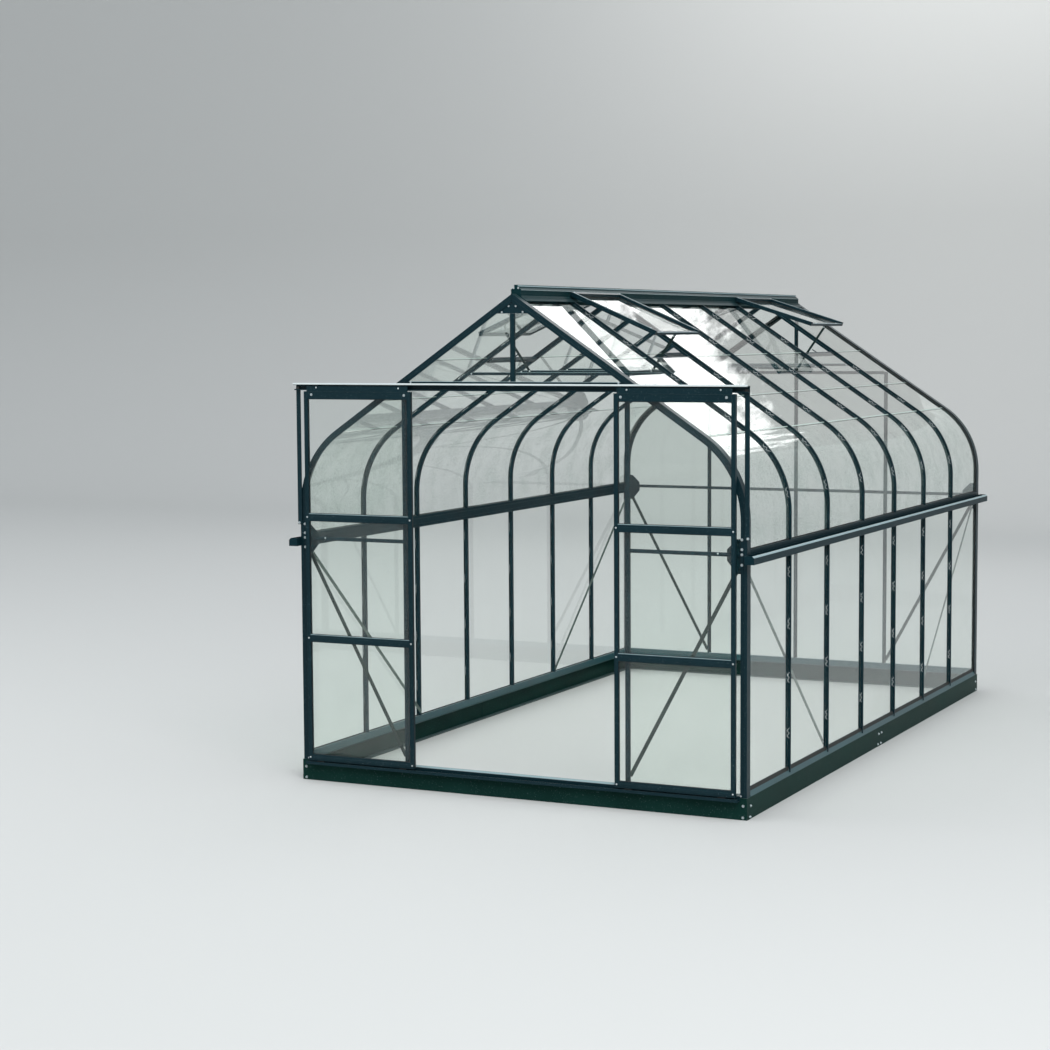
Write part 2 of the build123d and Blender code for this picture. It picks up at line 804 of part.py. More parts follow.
# Collar ties: a level angle across the house under each pair of roof bars
collar_z = slope_height(collar_reach, bar_depth) - fit
with BuildPart() as collar_ties:
    for y in bar_stations:
        for wide, drop in ((collar_gauge, collar_size), (collar_size, collar_gauge)):
            foot_x = collar_reach + drop / slope
            with BuildSketch(Plane.XZ.offset(collar_size / 2 - y)):
                with BuildLine():
                    Polyline(
                        (-collar_reach, collar_z),
                        (collar_reach, collar_z),
                        (foot_x, collar_z - drop),
                        (-foot_x, collar_z - drop),
                        close=True,
                    )
                make_face()
            extrude(amount=-wide)
collar_ties.part.label = "collar_ties"
export_step(collar_ties.part, "parts/collar_ties.step")

# Roof vents, hung open from the ridge: frame with a thin bottom bar, glass, transom below and stay


def vent_plane(y, pitch):
    """Underside of an open vent: its origin is on the hinge line and its X runs down the vent."""
    tilt = radians(pitch)
    hinge_z = nose_foot - fit - vent_thickness * cos(tilt)
    down = (cos(tilt), 0, -sin(tilt))
    outward = (sin(tilt), 0, cos(tilt))
    return Plane(origin=(ridge_side, y, hinge_z), x_dir=down, z_dir=outward)


vent_planes = [vent_plane(y, pitch) for y, pitch in zip(vent_centres, vent_pitches)]
with BuildPart() as vent_frames:
    for plane in vent_planes:
        with BuildSketch(plane):
            with Locations((vent_length / 2, 0)):
                Rectangle(vent_length, vent_width)
                Rectangle(vent_length - 2 * vent_frame, vent_width - 2 * vent_frame, mode=Mode.SUBTRACT)
        extrude(amount=vent_bottom_bar)
        with BuildSketch(plane.offset(vent_bottom_bar)):
            Rectangle(vent_length, vent_width, align=(Align.MIN, Align.CENTER))
            with Locations((vent_frame, 0)):
                Rectangle(
                    vent_length,
                    vent_width - 2 * vent_frame,
                    align=(Align.MIN, Align.CENTER),
                    mode=Mode.SUBTRACT,
                )
        extrude(amount=vent_thickness - vent_bottom_bar)
    mirror(about=Plane.YZ)
vent_frames.part.label = "vent_frames"
export_step(vent_frames.part, "parts/vent_frames.step")

with BuildPart() as vent_glass:
    for plane in vent_planes:
        with BuildSketch(plane.offset(vent_glass_rise)):
            with Locations((vent_length / 2, 0)):
                Rectangle(vent_length - 2 * vent_frame - 2 * fit, vent_width - 2 * vent_frame - 2 * fit)
        extrude(amount=glass_gauge)
    mirror(about=Plane.YZ)
vent_glass.part.label = "vent_glass"
export_step(vent_glass.part, "parts/vent_glass.step")

transom_plane = Plane(
    origin=(lap_inner, 0, slope_height(lap_inner, behind_glass)),
    x_dir=(cos(radians(roof_pitch)), 0, -sin(radians(roof_pitch))),
    z_dir=(sin(radians(roof_pitch)), 0, cos(radians(roof_pitch))),
)
with BuildPart() as vent_transoms:
    with BuildSketch(transom_plane):
        with Locations([(0, y) for y in vent_centres]):
            Rectangle(transom_width, bay_pitch - foot_width - 2 * fit)
    extrude(amount=-transom_depth)
    with BuildSketch(transom_plane):
        with Locations([(-transom_width / 2, y + stay_gauge / 2 + fit) for y in vent_centres]):
            Rectangle(peg_reach, peg_width, align=(Align.MAX, Align.MIN))
    extrude(amount=-peg_gauge)
    mirror(about=Plane.YZ)
vent_transoms.part.label = "vent_transoms"
export_step(vent_transoms.part, "parts/vent_transoms.step")

with BuildPart() as vent_stays:
    for y, plane, pitch in zip(vent_centres, vent_planes, vent_pitches):
        corner_rise = stay_width / 2 * sin(radians(stay_lean - pitch))
        stay_head = plane.from_local_coords((vent_length - vent_frame / 2, 0, -fit - corner_rise))
        head = (stay_head.X, stay_head.Z)
        foot_x = stay_head.X - stay_length * sin(radians(stay_lean))
        foot_z = stay_head.Z - stay_length * cos(radians(stay_lean))
        stay_plane = Plane.XZ.offset(-y - stay_gauge / 2)
        add(flat_bar(stay_plane, (foot_x, foot_z), head, stay_width, stay_gauge))
    mirror(about=Plane.YZ)
vent_stays.part.label = "vent_stays"
export_step(vent_stays.part, "parts/vent_stays.step")

# Door track over the front gable, with a strut at each end
track_top = lintel_z - track_drop
track_foot = track_top - track_height
track_half_length = half_width + track_overhang
strut_foot = eave_top + strut_foot_rise
with BuildPart() as door_track:
    with BuildSketch(Plane.YZ):
        with Locations((-half_length, track_top)):
            Rectangle(track_gauge, track_height, align=(Align.MAX, Align.MAX))
            Rectangle(track_hood, track_gauge, align=(Align.MAX, Align.MAX))
        with Locations((-half_length, track_foot)):
            Rectangle(track_ledge, track_fold_gauge, align=(Align.MAX, Align.MIN))
        with Locations((-half_length - track_ledge, track_foot)):
            Rectangle(track_gauge, track_fold_gauge + track_lip_height, align=(Align.MIN, Align.MIN))
        with Locations((-half_length - track_hood, track_top)):
            Rectangle(track_fold_gauge, track_hem, align=(Align.MIN, Align.MAX))
    extrude(amount=track_half_length, both=True)
    with BuildSketch(front_plane(-track_gauge)):
        strut_head = track_foot - fit
        with Locations((track_half_length, strut_head), (strut_width - track_half_length, strut_head)):
            Rectangle(strut_width, strut_head - strut_foot - fit, align=(Align.MAX, Align.MAX))
    extrude(amount=-track_gauge)
door_track.part.label = "door_track"
export_step(door_track.part, "parts/door_track.step")

# Right-hand door, drawn where the photograph shows it: slid open in front of the side glass
door_width = jamb_x + door_overlap
door_open_x = jamb_x - door_setback
door_top = track_top - door_head_gap
door_back = -(half_length + door_gap)
door_face = -door_front
door_mid_y = (door_back + door_face) / 2
door_far_x = door_open_x + door_width
rail_length = door_width - 2 * stile_width - 2 * fit
rail_mid_x = (door_open_x + door_far_x) / 2
head_foot = door_top - head_rail_height
stile_shoulder = head_foot + head_box_height
pane_groove = glass_gauge + 2 * fit
pane_rise = (head_foot - door_bottom - bottom_rail_height - 2 * rail_height) / 3
door_rails = (
    (door_bottom, bottom_rail_height),
    (door_bottom + bottom_rail_height + pane_rise, rail_height),
    (head_foot - pane_rise - rail_height, rail_height),
)

with BuildPart() as door_right_stiles:
    for x, hand in ((door_open_x, Align.MIN), (door_far_x, Align.MAX)):
        with BuildSketch(Plane.XY.offset(door_bottom)):
            with Locations((x, door_mid_y)):
                Rectangle(stile_width, door_depth, align=(hand, Align.CENTER))
            with Locations((x + stile_width if hand == Align.MIN else x - stile_width, door_mid_y)):
                Rectangle(2 * door_groove, pane_groove, mode=Mode.SUBTRACT)
        extrude(amount=stile_shoulder - door_bottom)
door_right_stiles.part.label = "door_right_stiles"
export_step(door_right_stiles.part, "parts/door_right_stiles.step")

with BuildPart() as door_right_rails:
    for foot, height in door_rails:
        with BuildSketch(Plane.YZ.offset(rail_mid_x)):
            with Locations((door_mid_y, foot)):
                Rectangle(door_depth, height, align=(Align.CENTER, Align.MIN))
            with Locations((door_mid_y, foot + height)):
                Rectangle(pane_groove, 2 * door_groove, mode=Mode.SUBTRACT)
            if foot > door_bottom:
                with Locations((door_mid_y, foot)):
                    Rectangle(pane_groove, 2 * door_groove, mode=Mode.SUBTRACT)
        extrude(amount=rail_length / 2, both=True)
    with BuildSketch(Plane.YZ.offset(rail_mid_x)):
        with Locations((door_mid_y, head_foot)):
            Rectangle(door_depth, head_box_height, align=(Align.CENTER, Align.MIN))
            Rectangle(pane_groove, 2 * door_groove, mode=Mode.SUBTRACT)
    extrude(amount=rail_length / 2, both=True)
    with BuildSketch(Plane.YZ.offset(rail_mid_x)):
        with Locations((door_face, stile_shoulder + fit)):
            Rectangle(door_skin, door_top - stile_shoulder - fit, align=(Align.MIN, Align.MIN))
    extrude(amount=door_width / 2 - head_panel_inset, both=True)
    with BuildSketch(Plane.YZ.offset(rail_mid_x)):
        with Locations((door_face, stile_shoulder)):
            Rectangle(door_skin, fit, align=(Align.MIN, Align.MIN))
    extrude(amount=rail_length / 2, both=True)
door_right_rails.part.label = "door_right_rails"
export_step(door_right_rails.part, "parts/door_right_rails.step")

pane_feet = [foot + height - door_groove + 2 * fit for foot, height in door_rails]
pane_heads = [foot + door_groove - 2 * fit for foot in (door_rails[1][0], door_rails[2][0], head_foot)]
with BuildPart() as door_right_panes:
    for foot, head in zip(pane_feet, pane_heads):
        with BuildSketch(Plane.XZ.offset(-door_mid_y)):
            with Locations((rail_mid_x, (foot + head) / 2)):
                Rectangle(door_width - 2 * stile_width + 2 * door_groove - 4 * fit, head - foot)
        extrude(amount=glass_gauge / 2, both=True)
door_right_panes.part.label = "door_right_panes"
export_step(door_right_panes.part, "parts/door_right_panes.step")

roller_z = track_foot + track_fold_gauge + track_lip_height + fit + roller_radius
roller_y = -(half_length + track_ledge - track_gauge / 2)
with BuildPart() as door_right_runners:
    for x in (door_open_x + roller_inset, door_far_x - roller_inset):
        with BuildSketch(Plane.XZ.offset(-roller_y - roller_width / 2)):
            with Locations((x, roller_z)):
                Circle(roller_radius)
        extrude(amount=roller_width)
        with BuildSketch(Plane.XZ.offset(-roller_y)):
            with Locations((x, roller_z)):
                Rectangle(roller_axle, roller_axle)
        extrude(amount=roller_y - door_face - door_skin)
        with BuildSketch(Plane.XY.offset(door_bottom - fit)):
            with Locations((x, guide_y)):
                Rectangle(guide_length, guide_width)
        extrude(amount=guide_floor + sill_gauge + guide_clearance + fit - door_bottom)
door_right_runners.part.label = "door_right_runners"
export_step(door_right_runners.part, "parts/door_right_runners.step")

with BuildPart() as door_left_stiles:
    mirror(door_right_stiles.part, about=Plane.YZ)
door_left_stiles.part.label = "door_left_stiles"
export_step(door_left_stiles.part, "parts/door_left_stiles.step")

with BuildPart() as door_left_rails:
    mirror(door_right_rails.part, about=Plane.YZ)
door_left_rails.part.label = "door_left_rails"
export_step(door_left_rails.part, "parts/door_left_rails.step")

with BuildPart() as door_left_panes:
    mirror(door_right_panes.part, about=Plane.YZ)
door_left_panes.part.label = "door_left_panes"
export_step(door_left_panes.part, "parts/door_left_panes.step")

with BuildPart() as door_left_runners:
    mirror(door_right_runners.part, about=Plane.YZ)
door_left_runners.part.label = "door_left_runners"
export_step(door_left_runners.part, "parts/door_left_runners.step")
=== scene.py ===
"""Curved-eave glass greenhouse in its studio: finishes, glazing clips, seals, bolts, door gear and light.

Metres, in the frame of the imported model: X across the house, Y along it with the doors at -Y, Z up.
"""

import math

import bmesh
import bpy
import numpy as np
from mathutils import Matrix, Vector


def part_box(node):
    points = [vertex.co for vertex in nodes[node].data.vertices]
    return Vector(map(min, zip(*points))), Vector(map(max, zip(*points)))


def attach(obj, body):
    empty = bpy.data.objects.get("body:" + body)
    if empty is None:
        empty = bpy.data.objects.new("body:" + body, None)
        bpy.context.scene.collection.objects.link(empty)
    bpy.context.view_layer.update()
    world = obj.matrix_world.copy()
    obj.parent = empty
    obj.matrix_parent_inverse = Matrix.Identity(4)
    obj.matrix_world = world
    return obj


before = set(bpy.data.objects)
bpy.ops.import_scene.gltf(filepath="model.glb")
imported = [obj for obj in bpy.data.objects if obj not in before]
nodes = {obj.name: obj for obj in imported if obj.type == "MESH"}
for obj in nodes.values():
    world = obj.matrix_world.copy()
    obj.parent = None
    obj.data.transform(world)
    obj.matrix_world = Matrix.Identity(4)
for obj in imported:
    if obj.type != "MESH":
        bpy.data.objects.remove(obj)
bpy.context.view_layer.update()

# Studio: a pale floor that curves up into a backdrop, two soft boxes, a sky that is brighter overhead, and
# a sheet of cloud for the roof panes to mirror. The camera stands to the right of the doors at eye height,
# as the photograph was taken.


def add_node(tree, kind, settings=None, **inputs):
    """Adds a node, sets its own settings, and fills or links its inputs: From_Min fills From Min, _6 the
    input numbered 6."""
    node = tree.nodes.new(kind)
    for name, value in (settings or {}).items():
        setattr(node, name, value)
    for name, value in inputs.items():
        socket = node.inputs[int(name[1:])] if name[1:].isdigit() else node.inputs[name.replace("_", " ")]
        if isinstance(value, bpy.types.NodeSocket):
            tree.links.new(value, socket)
        else:
            socket.default_value = value
    return node


def new_material(name):
    """An empty node material and its output node."""
    material = bpy.data.materials.new(name)
    material.use_nodes = True
    material.node_tree.nodes.clear()
    output = material.node_tree.nodes.new("ShaderNodeOutputMaterial")
    return material, material.node_tree, output


def mesh_object(name, points, faces, material):
    """A smooth-shaded mesh piece at the origin from an array of points and a list of face corners."""
    mesh = bpy.data.meshes.new(name)
    mesh.from_pydata(np.asarray(points).tolist(), [], faces)
    mesh.polygons.foreach_set("use_smooth", np.full(len(mesh.polygons), True))
    mesh.materials.append(material)
    mesh.update()
    piece = bpy.data.objects.new(name, mesh)
    bpy.context.scene.collection.objects.link(piece)
    return piece


# Matt paper, mottled so faintly that the floor has no flat or printed look
studio_paper, tree, output = new_material("studio_paper")
mottle = add_node(tree, "ShaderNodeTexNoise", Scale=0.6, Detail=2.0)
paper_tone = add_node(
    tree, "ShaderNodeMix", {"data_type": "RGBA"},
    _0=mottle.outputs["Fac"], _6=(0.60, 0.61, 0.60, 1), _7=(0.64, 0.65, 0.64, 1),
)
paper = add_node(
    tree, "ShaderNodeBsdfPrincipled", Base_Color=paper_tone.outputs[2], Roughness=0.9, Specular_IOR_Level=0.1,
)
tree.links.new(paper.outputs[0], output.inputs[0])

# The sheet is a path in Y and Z carried straight across: floor, a bend of 4 m radius, and backdrop
sheet_half, sheet_front, bend_start, bend_radius, sheet_top = 40.0, -30.0, 14.0, 4.0, 22.0
bend = np.linspace(-math.pi / 2, 0, 17)
cyclorama = np.vstack([
    [[sheet_front, 0.0]],
    np.column_stack([bend_start + bend_radius * np.cos(bend), bend_radius + bend_radius * np.sin(bend)]),
    [[bend_start + bend_radius, sheet_top]],
])
count = len(cyclorama)
edges = [np.column_stack([np.full(count, across), cyclorama]) for across in (-sheet_half, sheet_half)]
index = np.arange(count - 1)
strips = np.column_stack([index, index + 1, index + count + 1, index + count])
mesh_object("studio_sweep", np.vstack(edges), strips.tolist(), studio_paper)

# Sky: even near the horizon and brighter overhead, which puts light lines on the upper edges
world = bpy.data.worlds.new("studio_sky")
bpy.context.scene.world = world
world.use_nodes = True
sky = world.node_tree.nodes["Background"]
sky.inputs[0].default_value = (0.92, 0.96, 1.0, 1)
toward = add_node(world.node_tree, "ShaderNodeTexCoord").outputs["Generated"]
rise_of_view = add_node(world.node_tree, "ShaderNodeSeparateXYZ", Vector=toward).outputs["Z"]
zenith = add_node(
    world.node_tree, "ShaderNodeMapRange", {"interpolation_type": "SMOOTHSTEP"},
    Value=rise_of_view, From_Min=0.15, From_Max=0.8, To_Min=0.48, To_Max=1.0,
)
world.node_tree.links.new(zenith.outputs[0], sky.inputs[1])


def soft_box(name, place, target, size, watts):
    """An area lamp turned to face its target."""
    lamp = bpy.data.lights.new(name, "AREA")
    lamp.shape = "RECTANGLE"
    lamp.size, lamp.size_y = size
    lamp.energy = watts
    holder = bpy.data.objects.new(name, lamp)
    bpy.context.scene.collection.objects.link(holder)
    aim = np.array(target) - np.array(place)
    aim = aim / np.linalg.norm(aim)
    side = np.cross(aim, (0, 0, 1))
    side = side / np.linalg.norm(side)
    rise = np.cross(side, aim)
    matrix = np.eye(4)
    matrix[:3, 0], matrix[:3, 1], matrix[:3, 2], matrix[:3, 3] = side, rise, -aim, place
    holder.matrix_world = Matrix(matrix.tolist())


soft_box("key_light", (7.0, -9.0, 9.0), (0, 0, 1), (6, 6), 720)
soft_box("fill_light", (-9.0, -7.0, 6.0), (0, 0, 1), (7, 5), 300)

# The cloud hangs high behind the house, out of the camera's sight: the roof panes mirror it, whole near
# the doors and in patches further back. Its brightness is cloudy noise plus a rise with height.
cloud, tree, output = new_material("broken_cloud")
place = add_node(tree, "ShaderNodeTexCoord").outputs["Object"]
billows = add_node(tree, "ShaderNodeTexNoise", Vector=place, Scale=2.2, Detail=6.0, Roughness=0.65)
cloud_height = add_node(tree, "ShaderNodeSeparateXYZ", Vector=place).outputs["Z"]
lifted = add_node(
    tree, "ShaderNodeMapRange", {"clamp": False}, Value=cloud_height, From_Min=6.9, From_Max=9.7,
)
gather = add_node(
    tree, "ShaderNodeMath", {"operation": "ADD"}, _0=billows.outputs["Fac"], _1=lifted.outputs[0],
)
glow = add_node(
    tree, "ShaderNodeMapRange",
    Value=gather.outputs[0], From_Min=0.47, From_Max=0.62, To_Min=0.45, To_Max=2.8,
)
shine = add_node(tree, "ShaderNodeEmission", Strength=glow.outputs[0])
tree.links.new(shine.outputs[0], output.inputs[0])
cloud_corners = [[-7, 13, 5], [3, 13, 5], [3, 13, 11], [-7, 13, 11]]
cloud_sheet = mesh_object("cloud_sheet", cloud_corners, [[0, 1, 2, 3]], cloud)
cloud_sheet.visible_camera = False
cloud_sheet.visible_shadow = False

# Camera fitted to the photograph: its place, its turns in radians, and its focal length in pixels
camera_place = (5.0569, -12.4602, 2.3999)
yaw, pitch, roll = 0.4528, -0.0854, -0.0062
frame_pixels = 1050
focal_pixels = 2240.78
forward = np.array([-math.sin(yaw) * math.cos(pitch), math.cos(yaw) * math.cos(pitch), math.sin(pitch)])
level_right = np.array([math.cos(yaw), math.sin(yaw), 0.0])
level_up = np.cross(level_right, forward)
camera_right = level_right * math.cos(roll) + level_up * math.sin(roll)
camera_up = level_up * math.cos(roll) - level_right * math.sin(roll)
lens = bpy.data.cameras.new("photo_camera")
lens.sensor_fit = "HORIZONTAL"
lens.sensor_width = 36
lens.lens = focal_pixels / frame_pixels * lens.sensor_width
lens.clip_end = 200
camera = bpy.data.objects.new("photo_camera", lens)
bpy.context.scene.collection.objects.link(camera)
pose = np.eye(4)
pose[:3, 0], pose[:3, 1], pose[:3, 2], pose[:3, 3] = camera_right, camera_up, -forward, camera_place
camera.matrix_world = Matrix(pose.tolist())
bpy.context.scene.camera = camera
bpy.context.scene.view_settings.view_transform = "Standard"

# Base: folded aluminium channels 110 mm high with a dark green powder coat, joined by corner angles and,
# halfway along each side, a splice plate. Zinc-plated M6 bolts with washers hold the joints.
mm = 0.001


def linear(hex_colour):
    """Linear RGBA of an sRGB hex colour."""
    parts = np.array([int(hex_colour[i:i + 2], 16) for i in (1, 3, 5)]) / 255
    low = parts / 12.92
    high = ((parts + 0.055) / 1.055) ** 2.4
    return (*np.where(parts <= 0.04045, low, high).tolist(), 1.0)


def powder_coat(name, deep, worn, stretch, dust_cover=0.22, gloss=0.3):
    """Powder-coated aluminium whose die lines run along the axis with the small number in stretch.

    dust_cover is how far dust hides a level face, and gloss is the specular level.
    """
    material, tree, output = new_material(name)
    place = add_node(tree, "ShaderNodeTexCoord").outputs["Object"]
    # Weathering in patches of about 250 mm
    patches = add_node(tree, "ShaderNodeTexNoise", Vector=place, Scale=4.0, Detail=5.0).outputs["Fac"]
    tone = add_node(
        tree, "ShaderNodeMix", {"data_type": "RGBA"}, _0=patches, _6=linear(deep), _7=linear(worn),
    )
    # Dust specks of 4 mm, drawn coarser than real ones so that they show
    specks = add_node(tree, "ShaderNodeTexNoise", Vector=place, Scale=180.0, Detail=2.0).outputs["Fac"]
    speck_mask = add_node(
        tree, "ShaderNodeMapRange", Value=specks, From_Min=0.66, From_Max=0.74, To_Max=0.3,
    )
    # Dust that has settled on faces that look up
    facing = add_node(tree, "ShaderNodeNewGeometry").outputs["Normal"]
    upward = add_node(tree, "ShaderNodeSeparateXYZ", Vector=facing).outputs["Z"]
    settled = add_node(
        tree, "ShaderNodeMapRange", Value=upward, From_Min=0.3, From_Max=1.0, To_Max=dust_cover,
    )
    dust = add_node(
        tree, "ShaderNodeMath", {"operation": "MAXIMUM"}, _0=speck_mask.outputs[0], _1=settled.outputs[0],
    )
    dusty = add_node(
        tree, "ShaderNodeMix", {"data_type": "RGBA"},
        _0=dust.outputs[0], _6=tone.outputs[2], _7=linear("#87979a"),
    )
    # Orange peel of 3 mm and die lines 1.7 mm apart, drawn coarser than real ones so that they show
    peel = add_node(tree, "ShaderNodeTexNoise", Vector=place, Scale=320.0, Detail=1.0).outputs["Fac"]
    lines_at = add_node(tree, "ShaderNodeMapping", Vector=place, Scale=stretch).outputs[0]
    lines = add_node(tree, "ShaderNodeTexNoise", Vector=lines_at, Scale=1.0, Detail=2.0).outputs["Fac"]
    height = add_node(tree, "ShaderNodeMath", {"operation": "ADD"}, _0=peel, _1=lines)
    relief = add_node(tree, "ShaderNodeBump", Height=height.outputs[0], Strength=0.12, Distance=0.0006)
    sheen = add_node(tree, "ShaderNodeMapRange", Value=patches, To_Min=0.27, To_Max=0.40)
    coat = add_node(
        tree, "ShaderNodeBsdfPrincipled",
        Base_Color=dusty.outputs[2], Roughness=sheen.outputs[0], Normal=relief.outputs[0],
        Specular_IOR_Level=gloss,
    )
    tree.links.new(coat.outputs[0], output.inputs[0])
    return material


def finish(material, *names):
    """Puts a material on every slot of some CAD nodes."""
    for name in names:
        mesh = nodes[name].data
        if not mesh.materials:
            mesh.materials.append(material)
        for slot_number in range(len(mesh.materials)):
            mesh.materials[slot_number] = material


def bright_metal(name, dark, pale, scale, rough):
    """Bare metal whose tone and roughness vary together in clouds; scale is in clouds a metre."""
    material, tree, output = new_material(name)
    place = add_node(tree, "ShaderNodeTexCoord").outputs["Object"]
    clouding = add_node(tree, "ShaderNodeTexNoise", Vector=place, Scale=scale, Detail=4.0).outputs["Fac"]
    tone = add_node(
        tree, "ShaderNodeMix", {"data_type": "RGBA"}, _0=clouding, _6=linear(dark), _7=linear(pale),
    )
    dull = add_node(tree, "ShaderNodeMapRange", Value=clouding, To_Min=rough[0], To_Max=rough[1])
    relief = add_node(tree, "ShaderNodeBump", Height=clouding, Strength=0.15, Distance=0.0003)
    metal = add_node(
        tree, "ShaderNodeBsdfPrincipled",
        Base_Color=tone.outputs[2], Roughness=dull.outputs[0], Normal=relief.outputs[0], Metallic=0.85,
    )
    tree.links.new(metal.outputs[0], output.inputs[0])
    return material


def set_at(shape, places, across, along, out):
    """Copies of a small shape: each point (a, b, c) goes to place + a across + b along + c out."""
    points, faces = shape
    places = np.atleast_2d(np.asarray(places, dtype=float))
    across, along, out = (np.broadcast_to(axis, places.shape) for axis in (across, along, out))
    copies = places[:, None] + (
        points[None, :, 0:1] * across[:, None]
        + points[None, :, 1:2] * along[:, None]
        + points[None, :, 2:3] * out[:, None]
    )
    step = len(points)
    numbered = [
        [corner + start * step for corner in face] for start in range(len(places)) for face in faces
    ]
    return copies.reshape(-1, 3), numbered


def joined(name, parts, material, body="house"):
    """One piece from closed parts (points, faces), with every face turned outward and edges over 35 degrees
    sharp."""
    starts = np.cumsum([0] + [len(points) for points, _ in parts]).tolist()
    faces = [
        [corner + start for corner in face] for (_, part_faces), start in zip(parts, starts)
        for face in part_faces
    ]
    piece = mesh_object(name, np.vstack([points for points, _ in parts]), faces, material)
    form = bmesh.new()
    form.from_mesh(piece.data)
    bmesh.ops.recalc_face_normals(form, faces=form.faces)
    form.to_mesh(piece.data)
    form.free()
    piece.data.set_sharp_from_angle(angle=math.radians(35))
    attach(piece, body)
    return piece


def stacked_rings(radii, heights, hexagonal):
    """Closed shape of twelve-point rings: ring k has its own radius and height, and every second point of a
    hexagonal ring is drawn in to cos 30 of the radius, which makes flats."""
    turn = np.arange(12) * math.tau / 12
    flats = np.where(np.arange(12) % 2 == 1, math.cos(math.pi / 6), 1.0)
    reach = np.asarray(radii)[:, None] * np.where(np.asarray(hexagonal)[:, None], flats, 1.0)
    rise = np.broadcast_to(np.asarray(heights)[:, None], reach.shape)
    points = np.stack([reach * np.cos(turn), reach * np.sin(turn), rise], axis=-1).reshape(-1, 3)
    here = np.arange(12)
    after = np.roll(here, -1)
    start = (np.arange(len(radii) - 1) * 12)[:, None]
    sides = np.stack([start + here, start + after, start + after + 12, start + here + 12], axis=-1)
    caps = [here[::-1].tolist(), (here + (len(radii) - 1) * 12).tolist()]
    return points, sides.reshape(-1, 4).tolist() + caps


# Washer, hexagon nut with a chamfered top, and the end of the bolt through it
nut = stacked_rings(
    np.array([7.2, 7.2, 5.8, 5.8, 5.0, 3.0, 3.0, 2.2]) * mm,
    np.array([-0.3, 1.2, 1.2, 5.0, 5.8, 5.8, 7.2, 7.7]) * mm,
    [False, False, True, True, False, False, False, False],
)
# Low domed head of a small bolt or screw
button = stacked_rings(
    np.array([5.0, 5.0, 4.3, 3.0, 1.2]) * mm,
    np.array([-0.3, 0.9, 2.2, 3.1, 3.5]) * mm,
    [False] * 5,
)
along_x, along_y, along_z = np.eye(3)
corners = ((1, 1), (-1, 1), (1, -1), (-1, -1))
two_sides = ((1, 1), (-1, 1))


def mirrored(part, signs):
    """Copies of a part whose X and Y are multiplied by each pair of signs."""
    points, faces = part
    return [(points * (sign_x, sign_y, 1), faces) for sign_x, sign_y in signs]


def all_mirrored(parts, signs):
    """The mirrored copies of every part in a list."""
    return [copy for part in parts for copy in mirrored(part, signs)]


# Satin powder coat: a green so dark that faces turned from the light look nearly black. Its die lines run
# the way a bar was drawn, so uprights, bars along the house and bars across it have a coat each.
deep_green = "#0a2228"
worn_green = "#122e36"
coat_upright = powder_coat("green_powder_coat_uprights", deep_green, worn_green, (600, 600, 6), 0.15, 0.12)
coat_length = powder_coat("green_powder_coat_lengths", deep_green, worn_green, (600, 6, 600), 0.15, 0.05)
coat_cross = powder_coat("green_powder_coat_cross", deep_green, worn_green, (6, 600, 600), 0.15, 0.12)
# Chalked by splashes near the ground, so duller than the rest
coat_base = powder_coat("chalked_green_powder_coat", "#0b2622", "#173833", (600, 6, 600), 0.3, 0.02)
# Zinc plating gives the eye small pale dots against the green
zinc = bright_metal("zinc_plated_steel", "#a4b1b5", "#dbe2e4", 300.0, (0.3, 0.5))
finish(coat_base, "base_channels", "base_plates")
base_face, base_end, base_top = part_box("base_channels")[1]
corner_front = np.array([[1.255, -base_end, 0.071], [1.254, -base_end, 0.0125]])
corner_side = np.array([[base_face, -2.161, 0.066], [base_face, -2.170, 0.0125]])
splice = np.array([
    [base_face, y, z] for y, z in ((0.032, 0.073), (-0.021, 0.073), (-0.035, 0.014), (0.018, 0.014))
])
joined(
    "base_bolts",
    mirrored(set_at(nut, corner_front, along_x, along_z, -along_y), corners)
    + mirrored(set_at(nut, corner_side, along_y, along_z, along_x), corners)
    + mirrored(set_at(nut, splice, along_y, along_z, along_x), two_sides),
    zinc,
)

# Sills and threshold: extrusions on the base, the sills with a sloping weathered face that sheds rain off
# the glass and a drip bead along their foot. Black rubber strips seal the feet of the side panes.


def carried(profile, path, across, rise):
    """Closed bar: each profile point (u, v) goes to path + u across + v rise, at every point of the path."""
    profile = np.asarray(profile, dtype=float)
    path = np.asarray(path, dtype=float)
    across = np.broadcast_to(across, path.shape)
    rise = np.broadcast_to(rise, path.shape)
    points = path[:, None] + profile[None, :, :1] * across[:, None] + profile[None, :, 1:] * rise[:, None]
    sides = len(profile)
    here = np.arange(sides)
    after = np.roll(here, -1)
    start = (np.arange(len(path) - 1) * sides)[:, None]
    walls = np.stack([start + here, start + after, start + after + sides, start + here + sides], axis=-1)
    ends = [here[::-1].tolist(), (here + (len(path) - 1) * sides).tolist()]
    return points.reshape(-1, 3), walls.reshape(-1, 4).tolist() + ends


def straight(profile, start, end, across, rise):
    """A bar carried straight from one point to another."""
    return carried(profile, [start, end], across, rise)


def dome(half_width, height):
    """Half an ellipse over a flat that is sunk 0.3 mm: u = half_width cos t, v = height sin t."""
    turn = np.linspace(0, math.pi, 9)
    arch = np.column_stack([half_width * np.cos(turn), height * np.sin(turn)])
    return np.vstack([[[half_width, -0.3 * mm]], arch, [[-half_width, -0.3 * mm]]])


